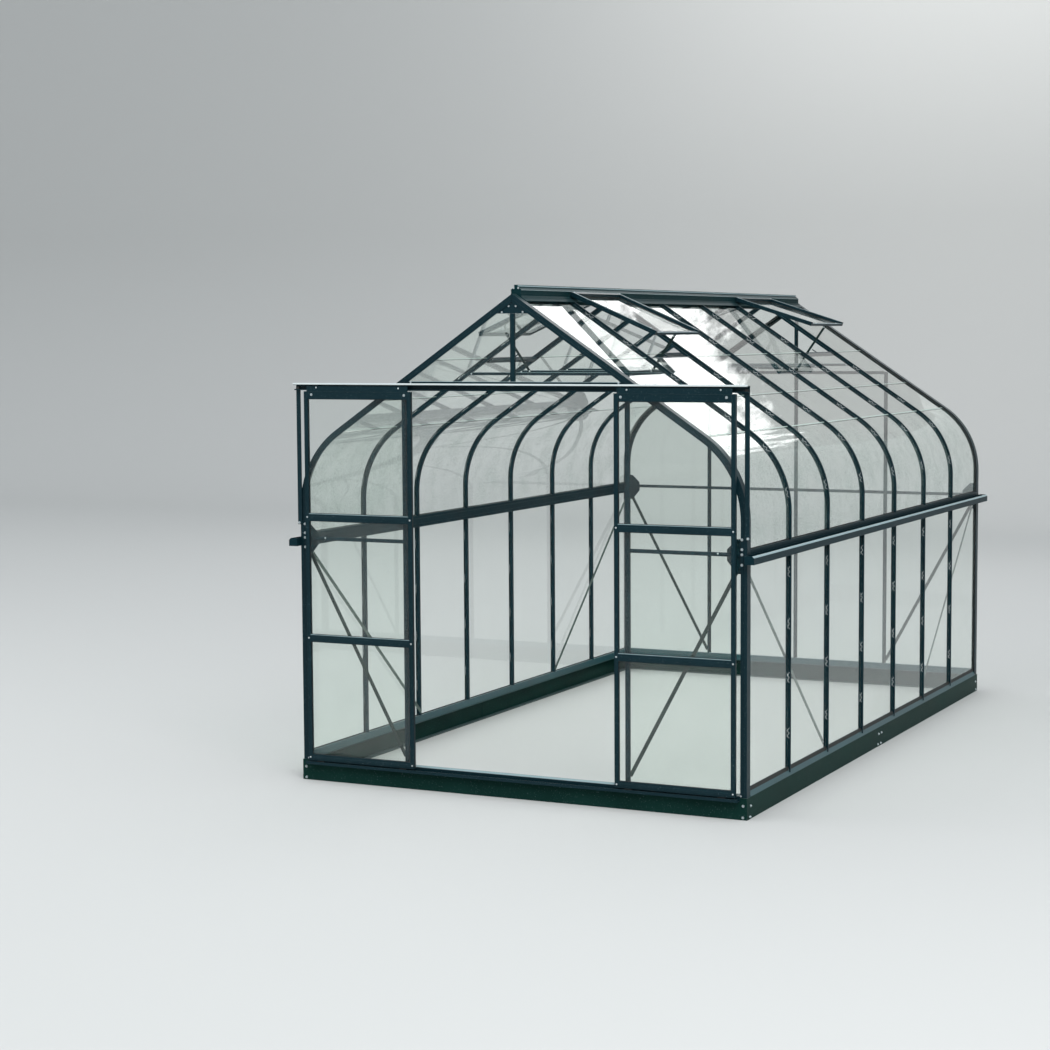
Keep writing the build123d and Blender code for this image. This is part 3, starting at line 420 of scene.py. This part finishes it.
def soft_rubber(name, dark, pale, scale):
    """Weathered black rubber or plastic with a fine grain; scale is in grains a metre."""
    material, tree, output = new_material(name)
    place = add_node(tree, "ShaderNodeTexCoord").outputs["Object"]
    grain = add_node(tree, "ShaderNodeTexNoise", Vector=place, Scale=scale, Detail=2.0).outputs["Fac"]
    tone = add_node(
        tree, "ShaderNodeMix", {"data_type": "RGBA"}, _0=grain, _6=linear(dark), _7=linear(pale),
    )
    relief = add_node(tree, "ShaderNodeBump", Height=grain, Strength=0.2, Distance=0.0003)
    skin = add_node(
        tree, "ShaderNodeBsdfPrincipled",
        Base_Color=tone.outputs[2], Normal=relief.outputs[0], Roughness=0.6,
    )
    tree.links.new(skin.outputs[0], output.inputs[0])
    return material


# The bloom on old rubber keeps it from reading as a black hole beside the glass
rubber = soft_rubber("black_glazing_rubber", "#0d1011", "#1d2222", 500.0)
# The sloping sills are painted a lighter teal than the other coats: a painted reflection of the sky
coat_sill_painted_reflection = powder_coat("sill_powder_coat_painted_reflection", "#1d4046", "#345a60", (600, 6, 600), 0.35)
finish(coat_sill_painted_reflection, "sills")
finish(coat_cross, "threshold")
bay_pitch = 0.622
bays = [bay_pitch * number for number in range(-3, 4)]
half_pane = 0.304
wall_end = 2.15
# Painted highlight: a pale coat on the beads and upper edges stands in for the bright lines that light draws
# along them
highlight_painted_edge = powder_coat("edges_with_painted_highlight", "#7d999f", "#a9bfc3", (6, 6, 600))
joined("sill_beads", mirrored(
    straight(dome(1.6 * mm, 1.6 * mm), (base_face, -wall_end, base_top), (base_face, wall_end, base_top),
             along_z, along_x),
    two_sides,
), coat_base)
# Tread between the doors, painted pale as a highlight: teeth 4 mm apart across its width
tread_front, tread_back, tread_half = -2.2035, -2.1635, 0.6
tread_foot, tooth_root, tooth_tip = 0.1198, 0.1204, 0.1216
tread_y = np.linspace(tread_front, tread_back, 21)
teeth = np.column_stack([tread_y, np.where(np.arange(21) % 2 == 0, tooth_root, tooth_tip)])
tread_profile = np.vstack([[[tread_back, tread_foot], [tread_front, tread_foot]], teeth])
joined("threshold_tread", [
    straight(tread_profile, (-tread_half, 0, 0), (tread_half, 0, 0), along_y, along_z),
], highlight_painted_edge)


def pane_foot_seals(profile):
    """A strip of one profile in X and Z at the foot of each bay's pane, on both walls."""
    return all_mirrored([
        straight(profile, (0, centre - half_pane, 0), (0, centre + half_pane, 0), along_x, along_z)
        for centre in bays
    ], two_sides)


sill_seal = np.array([[1260.1, 156.5], [1262.2, 155.5], [1264.5, 135.5], [1260.1, 144.5]]) * mm
joined("side_pane_foot_seals", pane_foot_seals(sill_seal), rubber)

# Corner posts and gable rafters: extrusions bent round the eaves, the rafters mitred at the apex.
# A rolled bead runs along the fold of the face, and black rubber fills the slot beside the end panes.
finish(coat_upright, "corner_posts")
finish(coat_cross, "gable_rafters")
half_width, half_length, eave_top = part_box("corner_posts")[1]
roof_pitch = math.radians(34)
slope = math.tan(roof_pitch)
eave_radius = 0.5
wall_over_post = 0.14017
spring_x = half_width - eave_radius
spring_z = eave_top + wall_over_post
apex_height = spring_z + (eave_radius + spring_x * math.sin(roof_pitch)) / math.cos(roof_pitch)


def slope_height(x, depth=0.0):
    """Height of the roof slope at x, at a depth below its outer face."""
    return apex_height - x * slope - depth / math.cos(roof_pitch)


def eave_run(depth, foot, head):
    """Path in X and Z and its outward normals: up the wall from foot, round the eave's arc in 18 steps,
    and straight up the slope to X = head, all at a depth below the outer face."""
    turn = np.linspace(0, math.pi / 2 - roof_pitch, 19)
    normal = np.column_stack([np.cos(turn), np.sin(turn)])
    arc = np.array([spring_x, spring_z]) + (eave_radius - depth) * normal
    path = np.vstack([[[half_width - depth, foot]], arc, [[head, slope_height(head, depth)]]])
    return path, np.vstack([normal[:1], normal, normal[-1:]])


def at_station(flat, y):
    """Points in X and Z set at a place along the house."""
    return np.column_stack([flat[:, 0], np.full(len(flat), y), flat[:, 1]])


fold_depth, slot_depth = 20 * mm, 12 * mm
fold_path, fold_normal = eave_run(fold_depth, foot=0.112, head=0.004)
fold_bead = carried(
    dome(1.2 * mm, 1.0 * mm), at_station(fold_path, -half_length), at_station(fold_normal, 0), -along_y,
)
joined("post_and_rafter_beads", mirrored(fold_bead, corners), coat_upright)
slot_path, slot_normal = eave_run(slot_depth, foot=0.152, head=0.0305)
slot_profile = np.array([
    [-2170.5, 0.2], [-2150.0, 0.2], [-2150.0, 1.6], [-2155.5, 3.2], [-2155.5, 8.8], [-2170.5, 8.8],
]) * mm
joined("end_pane_seals", mirrored(
    carried(slot_profile, at_station(slot_path, 0), along_y, at_station(slot_normal, 0)), corners,
), rubber)
post_bolts = np.array([[1.2445, -half_length, height] for height in (1.388, 1.340, 1.315, 1.264)])
foot_bolts = np.array([[1.241, -half_length, 0.118]])
# This one holds the foot of the door track's strut to the post
strut_bolt = np.array([[1.277, -2.209, 1.394]])
joined(
    "post_bolts",
    mirrored(set_at(nut, post_bolts, along_x, along_z, -along_y), corners)
    + mirrored(set_at(button, foot_bolts, along_x, along_z, -along_y), corners)
    + mirrored(set_at(nut, strut_bolt, along_x, along_z, -along_y), two_sides),
    zinc,
)

# Glazing bars: at six stations a side, one up the wall to the eave and one bent over it to the ridge.
# The outer head is rolled to a shallow dome, which takes a light line along its length.
finish(coat_upright, "side_bars_left", "side_bars_right")
finish(coat_cross, "roof_bars_left", "roof_bars_right")
bar_stations = [bay_pitch * (number - 2.5) for number in range(6)]
bar_dome = dome(6.4 * mm, 1.5 * mm)
side_bar_foot, side_bar_top = 0.1255, 1.2675
joined("side_bar_heads", all_mirrored([
    straight(bar_dome, (half_width, y, side_bar_foot), (half_width, y, side_bar_top), along_y, along_x)
    for y in bar_stations
], two_sides), coat_upright)
roof_path, roof_normal = eave_run(0, foot=1.3365, head=0.0605)
joined("roof_bar_heads", all_mirrored([
    carried(bar_dome, at_station(roof_path, y), along_y, at_station(roof_normal, 0)) for y in bar_stations
], two_sides), coat_cross)

# Eave beams and gutters: one extrusion a side that carries the roof bars, ties the house together and
# drains the roof. The gutter's lip ends in a sloping roll, painted pale along its whole length as a
# highlight.
finish(coat_length, "gutter_left", "gutter_right", "gutter_ends")
gutter_low, gutter_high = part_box("gutter_right")
beam_inner, gutter_end = gutter_low[0], gutter_high[1]
roll_x, roll_z = 1.3163, 1.3073
roll_out = np.array([1, 0, 1]) / math.sqrt(2)
roll_across = np.array([1, 0, -1]) / math.sqrt(2)
joined("gutter_rolls", mirrored(
    straight(dome(6.6 * mm, 1.3 * mm), (roll_x, -gutter_end, roll_z), (roll_x, gutter_end, roll_z),
             roll_across, roll_out),
    two_sides,
), highlight_painted_edge)
joined("eave_beam_ribs", all_mirrored([
    straight(dome(1.5 * mm, 1.2 * mm), (beam_inner, -wall_end, height), (beam_inner, wall_end, height),
             along_z, -along_x)
    for height in (1.286, 1.318)
], two_sides), coat_length)
beam_seal = np.array([[1260.1, 1336.2], [1263.4, 1336.2], [1262.6, 1341.5], [1260.1, 1342.6]]) * mm
joined("eave_pane_foot_seals", pane_foot_seals(beam_seal), rubber)

# Ridge: a hollow extrusion with a raised crest, weathering slopes, a nose over each vent's hinge line
# and a fascia that ends in a skirt over the roof bars.
# Little dust holds on its steep faces, which the sun has dulled, and the beads on its crest and nose carry a
# painted highlight
coat_ridge = powder_coat("ridge_powder_coat", "#0c2628", "#16363a", (600, 6, 600), 0.1, 0.02)
finish(coat_ridge, "ridge")
ridge_end = 2.1547
ridge_lines = [
    (10.0, 2640.0, 3.2, highlight_painted_edge, "ridge_crest_beads"),
    (30.0, 2619.4, 1.0, highlight_painted_edge, "ridge_nose_beads"),
    (28.0, 2600.0, 1.6, coat_ridge, "ridge_fascia_beads"),
]
for x, z, size, material, name in ridge_lines:
    bead = straight(
        dome(size * mm, size / 2 * mm), (x * mm, -ridge_end, z * mm), (x * mm, ridge_end, z * mm),
        along_z, along_x,
    )
    joined(name, mirrored(bead, two_sides), material)
end_screw = np.array([[0.013, -ridge_end, 2.6285]])
joined("ridge_end_screws", mirrored(set_at(button, end_screw, along_x, along_z, -along_y), corners),
       zinc)

# Front gable: jambs, lintel, king post and eave rails whose outer caps are rolled to a shallow dome,
# bolted through plate gussets at the eaves and at the apex.
finish(coat_upright, "door_jambs", "eave_gussets", "apex_gussets")
finish(coat_cross, "front_rails")
cap_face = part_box("door_jambs")[0][1]
jamb_x, lintel_z, eave_rail_z = 0.634, 2.14196, 1.313
jamb_foot, jamb_top = 0.1225, 2.122
king_foot, king_top = 2.156, 2.498
rafter_depth = 34 * mm
cap_dome = dome(11.0 * mm, 1.6 * mm)
rail_dome = dome(9.0 * mm, 1.5 * mm)
lintel_half_depth = 0.0115
lintel_end = (slope_height(0, rafter_depth) - lintel_z - lintel_half_depth) / slope
rail_start, rail_end = 0.648, 1.236
cap_runs = mirrored(
    straight(cap_dome, (jamb_x, cap_face, jamb_foot), (jamb_x, cap_face, jamb_top), along_x, -along_y),
    two_sides,
)
cap_runs += mirrored(
    straight(rail_dome, (rail_start, cap_face, eave_rail_z), (rail_end, cap_face, eave_rail_z),
             along_z, -along_y),
    two_sides,
)
cap_runs.append(straight(
    cap_dome, (-lintel_end, cap_face, lintel_z), (lintel_end, cap_face, lintel_z), along_z, -along_y,
))
cap_runs.append(straight(cap_dome, (0, cap_face, king_foot), (0, cap_face, king_top), along_x, -along_y))
joined("front_gable_caps", cap_runs, coat_upright)
bead_face = cap_face - 0.4 * mm
bead_z = lintel_z + 0.0108
# A bead along the lintel's top edge, painted pale as a highlight
joined("lintel_bead", [straight(
    dome(1.2 * mm, 1.2 * mm), (-lintel_end, bead_face, bead_z), (lintel_end, bead_face, bead_z),
    along_z, -along_y,
)], highlight_painted_edge)
gusset_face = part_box("apex_gussets")[0][1]
cap_crown = cap_face - 1.5 * mm
frame_bolts = np.array([[0.59, cap_crown, 2.148], [0.649, cap_crown, 2.134], [1.119, cap_crown, 1.316]])
apex_bolts = np.array([[0.02, gusset_face, 2.537], [0.059, gusset_face, 2.507]])
joined(
    "gable_bolts",
    mirrored(set_at(button, frame_bolts, along_x, along_z, -along_y), two_sides)
    + mirrored(set_at(button, apex_bolts, along_x, along_z, -along_y), corners),
    zinc,
)

# Rear gable: three extruded studs stand from the sill to the slopes, with rails at the eaves and a tie cut
# in between them. Their outer caps are rolled to the same shallow domes as at the front.
finish(coat_upright, "rear_studs")
finish(coat_cross, "rear_rails")
rear_tie_z = 2.11796
stud_foot, stud_half = 0.153, 0.012
stud_top = slope_height(jamb_x + stud_half, rafter_depth) - 1 * mm
rear_sides = ((1, -1), (-1, -1))
rear_runs = mirrored(
    straight(cap_dome, (jamb_x, cap_face, stud_foot), (jamb_x, cap_face, stud_top), along_x, -along_y),
    rear_sides,
)
rear_runs += mirrored(
    straight(cap_dome, (0, cap_face, stud_foot), (0, cap_face, king_top), along_x, -along_y), ((1, -1),),
)
inner_span, outer_span = (0.0125, 0.6215), (0.6475, rail_end)
rear_spans = ((inner_span, rear_tie_z), (inner_span, eave_rail_z), (outer_span, eave_rail_z))
for (left, right), height in rear_spans:
    rear_runs += mirrored(
        straight(rail_dome, (left, cap_face, height), (right, cap_face, height), along_z, -along_y),
        rear_sides,
    )
joined("rear_gable_caps", rear_runs, coat_upright)

# Braces and collars: bare mill-finish aluminium flats bolted across the end bays, dulled by weather,
# and small green angles that tie each pair of roof bars.
# Clouded bare metal stands greyer than the coat; its darker copy is tarnish with painted shade, darker where
# the gables shade it
bare = bright_metal("mill_finish_aluminium", "#50605b", "#75857f", 30.0, (0.35, 0.6))
tarnish_and_painted_shade = bright_metal("tarnished_aluminium_painted_shade", "#1a2929", "#314240", 30.0, (0.4, 0.65))
finish(bare, "side_braces")
finish(tarnish_and_painted_shade, "gable_braces")
finish(coat_cross, "collar_ties")
brace_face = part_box("side_braces")[1][0]
brace_ends = np.array([[brace_face, -0.9445, 0.1802], [brace_face, -2.1430, 1.2375]])
joined("brace_bolts", mirrored(set_at(button, brace_ends, along_y, along_z, along_x), corners),
       zinc)
collar_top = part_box("collar_ties")[1][2]
collar_half = 0.56
# Beads along the collars' tops, painted pale as a highlight
joined("collar_beads", [
    straight(dome(1.2 * mm, 1.2 * mm), (-collar_half, y - 6 * mm, collar_top),
             (collar_half, y - 6 * mm, collar_top), along_y, along_z)
    for y in bar_stations
], highlight_painted_edge)
collar_bolts = np.array([[0.564, y - 7.5 * mm, collar_top - 7.5 * mm] for y in bar_stations])
joined("collar_bolts", mirrored(set_at(button, collar_bolts, along_x, along_z, -along_y), two_sides),
       zinc)

# Glass: 3 mm horticultural float, clear with a green edge, lightly dusty and rain-spotted. Panes butt
# on the slope over pale edge strips, and stainless W wire clips press them down beside every bar.


def pane_glass(name, film, film_colour):
    """Thin clear glass that lets lamp light through; film is how much of a pane its dust covers.

    Its IOR is under the 1.52 of float, because both faces of a closed pane mirror the pale studio.
    """
    material, tree, output = new_material(name)
    place = add_node(tree, "ShaderNodeTexCoord").outputs["Object"]
    # Dust in clouds of about 200 mm with rain spots of 8 mm
    clouds = add_node(tree, "ShaderNodeTexNoise", Vector=place, Scale=5.0, Detail=6.0, Roughness=0.65)
    spots = add_node(tree, "ShaderNodeTexNoise", Vector=place, Scale=120.0, Detail=1.0)
    dust = add_node(
        tree, "ShaderNodeMath", {"operation": "MULTIPLY"},
        _0=clouds.outputs["Fac"], _1=spots.outputs["Fac"],
    )
    dust_mask = add_node(
        tree, "ShaderNodeMapRange", Value=dust.outputs[0], From_Min=0.2, From_Max=0.45, To_Max=film,
    )
    glass = add_node(
        tree, "ShaderNodeBsdfPrincipled",
        Base_Color=linear("#fafdfb"), Roughness=0.01, IOR=1.32, Transmission_Weight=1.0,
    )
    dirt = add_node(tree, "ShaderNodeBsdfPrincipled", Base_Color=linear(film_colour), Roughness=0.8)
    dusty_pane = add_node(
        tree, "ShaderNodeMixShader", _0=dust_mask.outputs[0], _1=glass.outputs[0], _2=dirt.outputs[0],
    )
    shadow = add_node(tree, "ShaderNodeLightPath").outputs["Is Shadow Ray"]
    clear = add_node(tree, "ShaderNodeBsdfTransparent", Color=linear("#f8fbf9"))
    pane = add_node(
        tree, "ShaderNodeMixShader", _0=shadow, _1=dusty_pane.outputs[0], _2=clear.outputs[0],
    )
    tree.links.new(pane.outputs[0], output.inputs[0])
    return material


# Upright panes rinse clean; the bent panes and the slope hold a greenish film
wall_glass = pane_glass("horticultural_glass", 0.02, "#aeb8b0")
eave_glass = pane_glass("bent_horticultural_glass", 0.22, "#93a69d")
roof_glass = pane_glass("roof_horticultural_glass", 0.06, "#a9b5ae")
finish(wall_glass, "side_glass_left", "side_glass_right", "front_glass", "rear_glass")
finish(eave_glass, "eave_glass_left", "eave_glass_right")
finish(roof_glass, "roof_glass_left", "roof_glass_right")
slope_out = np.array([math.sin(roof_pitch), 0, math.cos(roof_pitch)])
slope_down = np.array([math.cos(roof_pitch), 0, -math.sin(roof_pitch)])


def lap_strip(x, centre, size):
    """Strip across a bay on the slope at x; size is its width and its top and bottom below the bars' heads,
    in mm."""
    width, top, bottom = size
    height = slope_height(x)
    outline = np.array([
        [-width / 2, -bottom], [width / 2, -bottom], [width / 2, -top], [-width / 2, -top],
    ]) * mm
    return straight(
        outline, (x, centre - half_pane, height), (x, centre + half_pane, height), slope_down, slope_out,
    )


# Ground glass edges scatter light, so each joint shows as a fine pale green line. Its chips of 4 mm are
# drawn coarser than real ones so that they show.
edge_tone, tree, output = new_material("ground_glass_edge")
place = add_node(tree, "ShaderNodeTexCoord").outputs["Object"]
chips = add_node(tree, "ShaderNodeTexNoise", Vector=place, Scale=260.0, Detail=3.0).outputs["Fac"]
chip_tone = add_node(
    tree, "ShaderNodeMix", {"data_type": "RGBA"}, _0=chips, _6=linear("#a8c7bb"), _7=linear("#dfeee8"),
)
chip_relief = add_node(tree, "ShaderNodeBump", Height=chips, Strength=0.3, Distance=0.0004)
ground = add_node(
    tree, "ShaderNodeBsdfPrincipled",
    Base_Color=chip_tone.outputs[2], Normal=chip_relief.outputs[0], Roughness=0.45,
)
tree.links.new(ground.outputs[0], output.inputs[0])
vented = (1, 5)
upper_lap, lower_lap, eave_lap = 0.476, 0.791, 1.04005
butt_size, eave_size = (1.8, 11.6, 15.2), (4.0, 10.8, 12.2)
edge_strips = [
    lap_strip(upper_lap, centre, butt_size) for number, centre in enumerate(bays) if number not in vented
]
edge_strips += [lap_strip(lower_lap, centre, butt_size) for centre in bays]
edge_strips += [lap_strip(eave_lap, centre, eave_size) for centre in bays]
joined("pane_edge_strips", all_mirrored(edge_strips, two_sides), edge_tone)

# Centre line of a clip in mm: distance from the bar's web, distance along the bar, height over the glass
clip_line = np.array([
    [3.0, -28, 7.5], [9.0, -22, 5.0], [15.0, -16, 1.3], [16.0, -13, 1.1], [14.0, -10, 1.6], [5.0, 0, 7.2],
    [14.0, 10, 1.6], [16.0, 13, 1.1], [15.0, 16, 1.3], [9.0, 22, 5.0], [3.0, 28, 7.5],
])
# Square section of 2 mm: the four corners lie each way along the bar and each way in height
clip_section = np.array([[0, -1, -1], [0, 1, -1], [0, 1, 1], [0, -1, 1]])
clip_points = ((clip_line[:, None] + clip_section[None]) * mm).reshape(-1, 3)
# The faces are those of any four-sided bar carried along the same line
clip_walls = carried([[0, 0], [1, 0], [1, 1], [0, 1]], clip_line, along_x, along_z)[1]
clip = (clip_points, clip_walls)
glass_depth = 12 * mm
glass_radius = eave_radius - glass_depth
wall_heights = np.array([0.33, 0.62, 0.90, 1.17])
bend_turns = np.radians([12, 42])
slope_places = np.array([0.93, 0.63, 0.36, 0.14])
clip_spots = np.vstack([
    np.column_stack([np.full(len(wall_heights), half_width - glass_depth), wall_heights]),
    np.column_stack([
        spring_x + glass_radius * np.cos(bend_turns), spring_z + glass_radius * np.sin(bend_turns),
    ]),
    np.column_stack([slope_places, slope_height(slope_places, glass_depth)]),
])
slope_turn = math.pi / 2 - roof_pitch
clip_turns = np.concatenate([
    np.zeros(len(wall_heights)), bend_turns, np.full(len(slope_places), slope_turn),
])
level = np.zeros(len(clip_turns))
clip_out = np.column_stack([np.cos(clip_turns), level, np.sin(clip_turns)])
clip_along = np.column_stack([-np.sin(clip_turns), level, np.cos(clip_turns)])
clip_offset = 2 * mm
clips = []
for y in bar_stations:
    for side in (1, -1):
        bay = round((y + side * bay_pitch / 2) / bay_pitch) + 3
        kept = np.ones(len(clip_spots), dtype=bool)
        # The open bays under the vents have no glass above the lap, where the last two clips would be
        kept[-2:] = bay not in vented
        places = at_station(clip_spots[kept], y + side * clip_offset)
        clips += mirrored(set_at(clip, places, side * along_y, clip_along[kept], clip_out[kept]), two_sides)
# Spring wire is the brightest metal here, and so reads as a row of small glints
wire = bright_metal("stainless_spring_wire", "#aab2b4", "#dde2e3", 400.0, (0.2, 0.35))
joined("pane_clips", clips, wire)

# Roof vents: four extruded frames hooked under the ridge's nose and propped open on casement stays,
# with a thin bottom bar, a rubber-bedded pane, and corner screws.
finish(coat_cross, "vent_frames")
finish(coat_length, "vent_transoms")
finish(tarnish_and_painted_shade, "vent_stays")
finish(roof_glass, "vent_glass")


def picture_frame(low, high, width, foot, top):
    """Closed four-sided frame: outer and inner rectangles at two heights, joined corner to corner."""
    signs = np.array([[0, 0], [1, 0], [1, 1], [0, 1]])
    low, high = np.asarray(low, dtype=float), np.asarray(high, dtype=float)
    outer = low + signs * (high - low)
    inner = low + width + signs * (high - low - 2 * width)
    rows = [(outer, foot), (inner, foot), (inner, top), (outer, top)]
    points = np.stack([np.column_stack([flat, np.full(4, height)]) for flat, height in rows], axis=1)
    here = np.arange(4)
    corner = (np.arange(4) * 4)[:, None]
    onward = ((np.arange(4) + 1) % 4 * 4)[:, None]
    after = np.roll(here, -1)
    walls = np.stack([corner + here, corner + after, onward + after, onward + here], axis=-1)
    return points.reshape(-1, 3), walls.reshape(-1, 4).tolist()


# Places on a vent are measured from its hinge: down the frame, along the house, and out of the frame
vent_length, vent_half = 0.530, 0.315
rim_height, bar_height, foot_bar = 24 * mm, 14 * mm, 0.519
edge_inset, edge_start, edge_end = 2.2 * mm, 0.012, 0.506
hinge_x, nose_foot, nose_gap = 28.3 * mm, 2.618, 0.3 * mm
pin_drops = (0.014, 0.245)
vent_seal = picture_frame((0.0222, -0.2928), (0.5078, 0.2928), 4 * mm, 5.9 * mm, 8.5 * mm)
screw_spots = [(a, b, rim_height) for a in (0.011, 0.492) for b in (-0.304, 0.304)]
screw_spots += [(foot_bar, b, bar_height) for b in (-0.2, 0, 0.2)]
stay_lean = math.radians(35)
stay_rise = np.array([math.sin(stay_lean), 0, math.cos(stay_lean)])
stay_cross = np.array([math.cos(stay_lean), 0, -math.sin(stay_lean)])
vent_seals, vent_screws, vent_edges, stay_pins = [], [], [], []
for number, tilt in ((1, math.radians(23.3)), (5, math.radians(17.7))):
    down = np.array([math.cos(tilt), 0, -math.sin(tilt)])
    out = np.array([math.sin(tilt), 0, math.cos(tilt)])
    hinge = np.array([hinge_x, bays[number], nose_foot - nose_gap - rim_height * math.cos(tilt)])
    vent_seals += mirrored(set_at(vent_seal, hinge, down, along_y, out), two_sides)
    for a, b, c in screw_spots:
        spot = hinge + a * down + b * along_y + c * out
        vent_screws += mirrored(set_at(button, spot, down, along_y, out), two_sides)
    lip = hinge + (vent_length - edge_inset) * down + bar_height * out
    vent_edges += mirrored(
        straight(dome(2.0 * mm, 1.4 * mm), lip - vent_half * along_y, lip + vent_half * along_y, down, out),
        two_sides,
    )
    for edge in (-vent_half + edge_inset, vent_half - edge_inset):
        rim = hinge + edge * along_y + rim_height * out
        vent_edges += mirrored(
            straight(dome(1.6 * mm, 1.2 * mm), rim + edge_start * down, rim + edge_end * down, along_y, out),
            two_sides,
        )
    stay_head = hinge + foot_bar * down
    for drop in pin_drops:
        spot = stay_head - drop * stay_rise - 1.5 * mm * along_y
        stay_pins += mirrored(set_at(button, spot, stay_cross, stay_rise, -along_y), two_sides)
joined("vent_pane_seals", vent_seals, rubber)
joined("vent_screws", vent_screws + stay_pins, zinc)
# The vents' lip and rim beads are painted pale as a highlight
joined("vent_edges", vent_edges, highlight_painted_edge)

# Door track: an extruded channel across the gable with a weather hood, whose rounded front bead is painted
# near white as a highlight. Bolts hold it to the lintel and the end struts, and rubber blocks stop the doors.
finish(coat_cross, "door_track")
track_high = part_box("door_track")[1]
track_end, track_top = track_high[0], track_high[2]
hood_y = -2.2395
# Rolled bead painted near white: a painted highlight, the brightest line on the whole front
hood_painted_highlight = powder_coat("hood_bead_painted_highlight", "#c3cfd0", "#e2eaea", (6, 600, 600))
turn = np.linspace(0, math.tau, 17)[:-1]
bead_round = np.column_stack([5.0 * mm * np.cos(turn), 5.0 * mm * np.sin(turn)])
joined("track_hood_bead", [straight(
    bead_round, (-track_end, hood_y, track_top), (track_end, hood_y, track_top), along_y, along_z,
)], hood_painted_highlight)
stop_block = np.array([
    [-2219.0, 2108.2], [-2209.2, 2108.2], [-2209.2, 2124.0], [-2217.0, 2124.0], [-2219.0, 2121.0],
]) * mm
stop_start, stop_end = 1.262, 1.280
joined("track_stops", mirrored(
    straight(stop_block, (stop_start, 0, 0), (stop_end, 0, 0), along_y, along_z), two_sides,
), rubber)

# Doors: extruded stiles and rails with three panes bedded in black rubber, hung on nylon rollers from a
# pressed head panel, with a brush strip down the meeting stile. Screws hold every corner.
# Moulded nylon looks a shade paler than the rubber seals and finer in its grain
nylon = soft_rubber("black_nylon", "#121415", "#1e2122", 700.0)
finish(nylon, "door_left_runners", "door_right_runners")
finish(coat_upright, "door_left_stiles", "door_right_stiles")
finish(coat_cross, "door_left_rails", "door_right_rails")
finish(wall_glass, "door_left_panes", "door_right_panes")
# Black pile, ragged at the edge, that closes the gap between the doors
pile = soft_rubber("brush_pile", "#0c0d0e", "#262a2b", 1500.0)
door_low, door_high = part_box("door_right_stiles")
door_inner, door_face, door_outer = door_low[0], door_low[1], door_high[0]
stile_width = 22 * mm
rail_tops = (0.147, 0.79765, 1.4483)
rail_feet = (0.113, 0.75765, 1.4083, 2.05896)


def across_door(profile, height):
    """A bar across the face of the right door between its stiles."""
    return straight(
        profile, (door_inner + stile_width, door_face, height), (door_outer - stile_width, door_face, height),
        along_z, -along_y,
    )


# Beads along the rail tops, painted pale as a highlight
door_beads = [across_door(dome(1.5 * mm, 1.3 * mm), top - 1.6 * mm) for top in rail_tops[1:]]
rib_foot, rib_top = 0.116, 2.094
door_ribs = [
    straight(dome(1.0 * mm, 0.9 * mm), (x, door_face, rib_foot), (x, door_face, rib_top), along_x, -along_y)
    for x in (door_inner + 5 * mm, door_outer - 5 * mm)
]
door_ribs += [
    across_door(dome(9.0 * mm, 1.2 * mm), (foot + top) / 2 - 3 * mm)
    for foot, top in zip(rail_feet, rail_tops)
]
seam_start, seam_end, seam_z = 0.597, 1.201, 2.0965
door_ribs.append(straight(
    dome(1.4 * mm, 0.9 * mm), (seam_start, door_face, seam_z), (seam_end, door_face, seam_z),
    along_z, -along_y,
))
pane_front = -2.2275
pane_seals = []
for low, high in zip(rail_tops, rail_feet[1:]):
    ring = picture_frame(
        (door_inner + stile_width, low), (door_outer - stile_width, high), 2.5 * mm, 0.1 * mm, 3.2 * mm,
    )
    pane_seals.append(set_at(ring, (0, pane_front, 0), along_x, along_z, -along_y))
head_places = np.array([[0.647, 2.117], [1.145, 2.119]])
wide_places = np.array([[0.614, 2.081], [1.175, 2.082]])
corner_places = np.array([
    [x, z] for x in (door_inner + stile_width / 2, door_outer - stile_width / 2)
    for z in (0.130, 0.7776, 1.4283)
])
door_screws = [
    set_at(button, at_station(places, door_face), along_x, along_z, -along_y)
    for places in (head_places, corner_places)
]
# The head panel's lower pair are nuts, of the thin kind
door_screws.append(set_at(nut, at_station(wide_places, door_face), along_x, along_z, -along_y * 0.7))
brush_foot, brush_top = 0.118, 2.09
brush_y = door_face + 10 * mm
brush_profile = np.array([[-2.2, -1.5], [0.3, -2.5], [0.3, 2.5], [-2.2, 1.5]]) * mm
brush = straight(
    brush_profile, (door_inner, brush_y, brush_foot), (door_inner, brush_y, brush_top), along_x, along_y,
)
for side, name in ((1, "right"), (-1, "left")):
    sign = ((side, 1),)
    body = f"door_{name}"
    joined(f"{body}_beads", all_mirrored(door_beads, sign), highlight_painted_edge, body)
    joined(f"{body}_ribs", all_mirrored(door_ribs, sign), coat_upright, body)
    joined(f"{body}_pane_seals", all_mirrored(pane_seals, sign), rubber, body)
    joined(f"{body}_screws", all_mirrored(door_screws, sign), zinc, body)
    joined(f"{body}_brush", mirrored(brush, sign), pile, body)
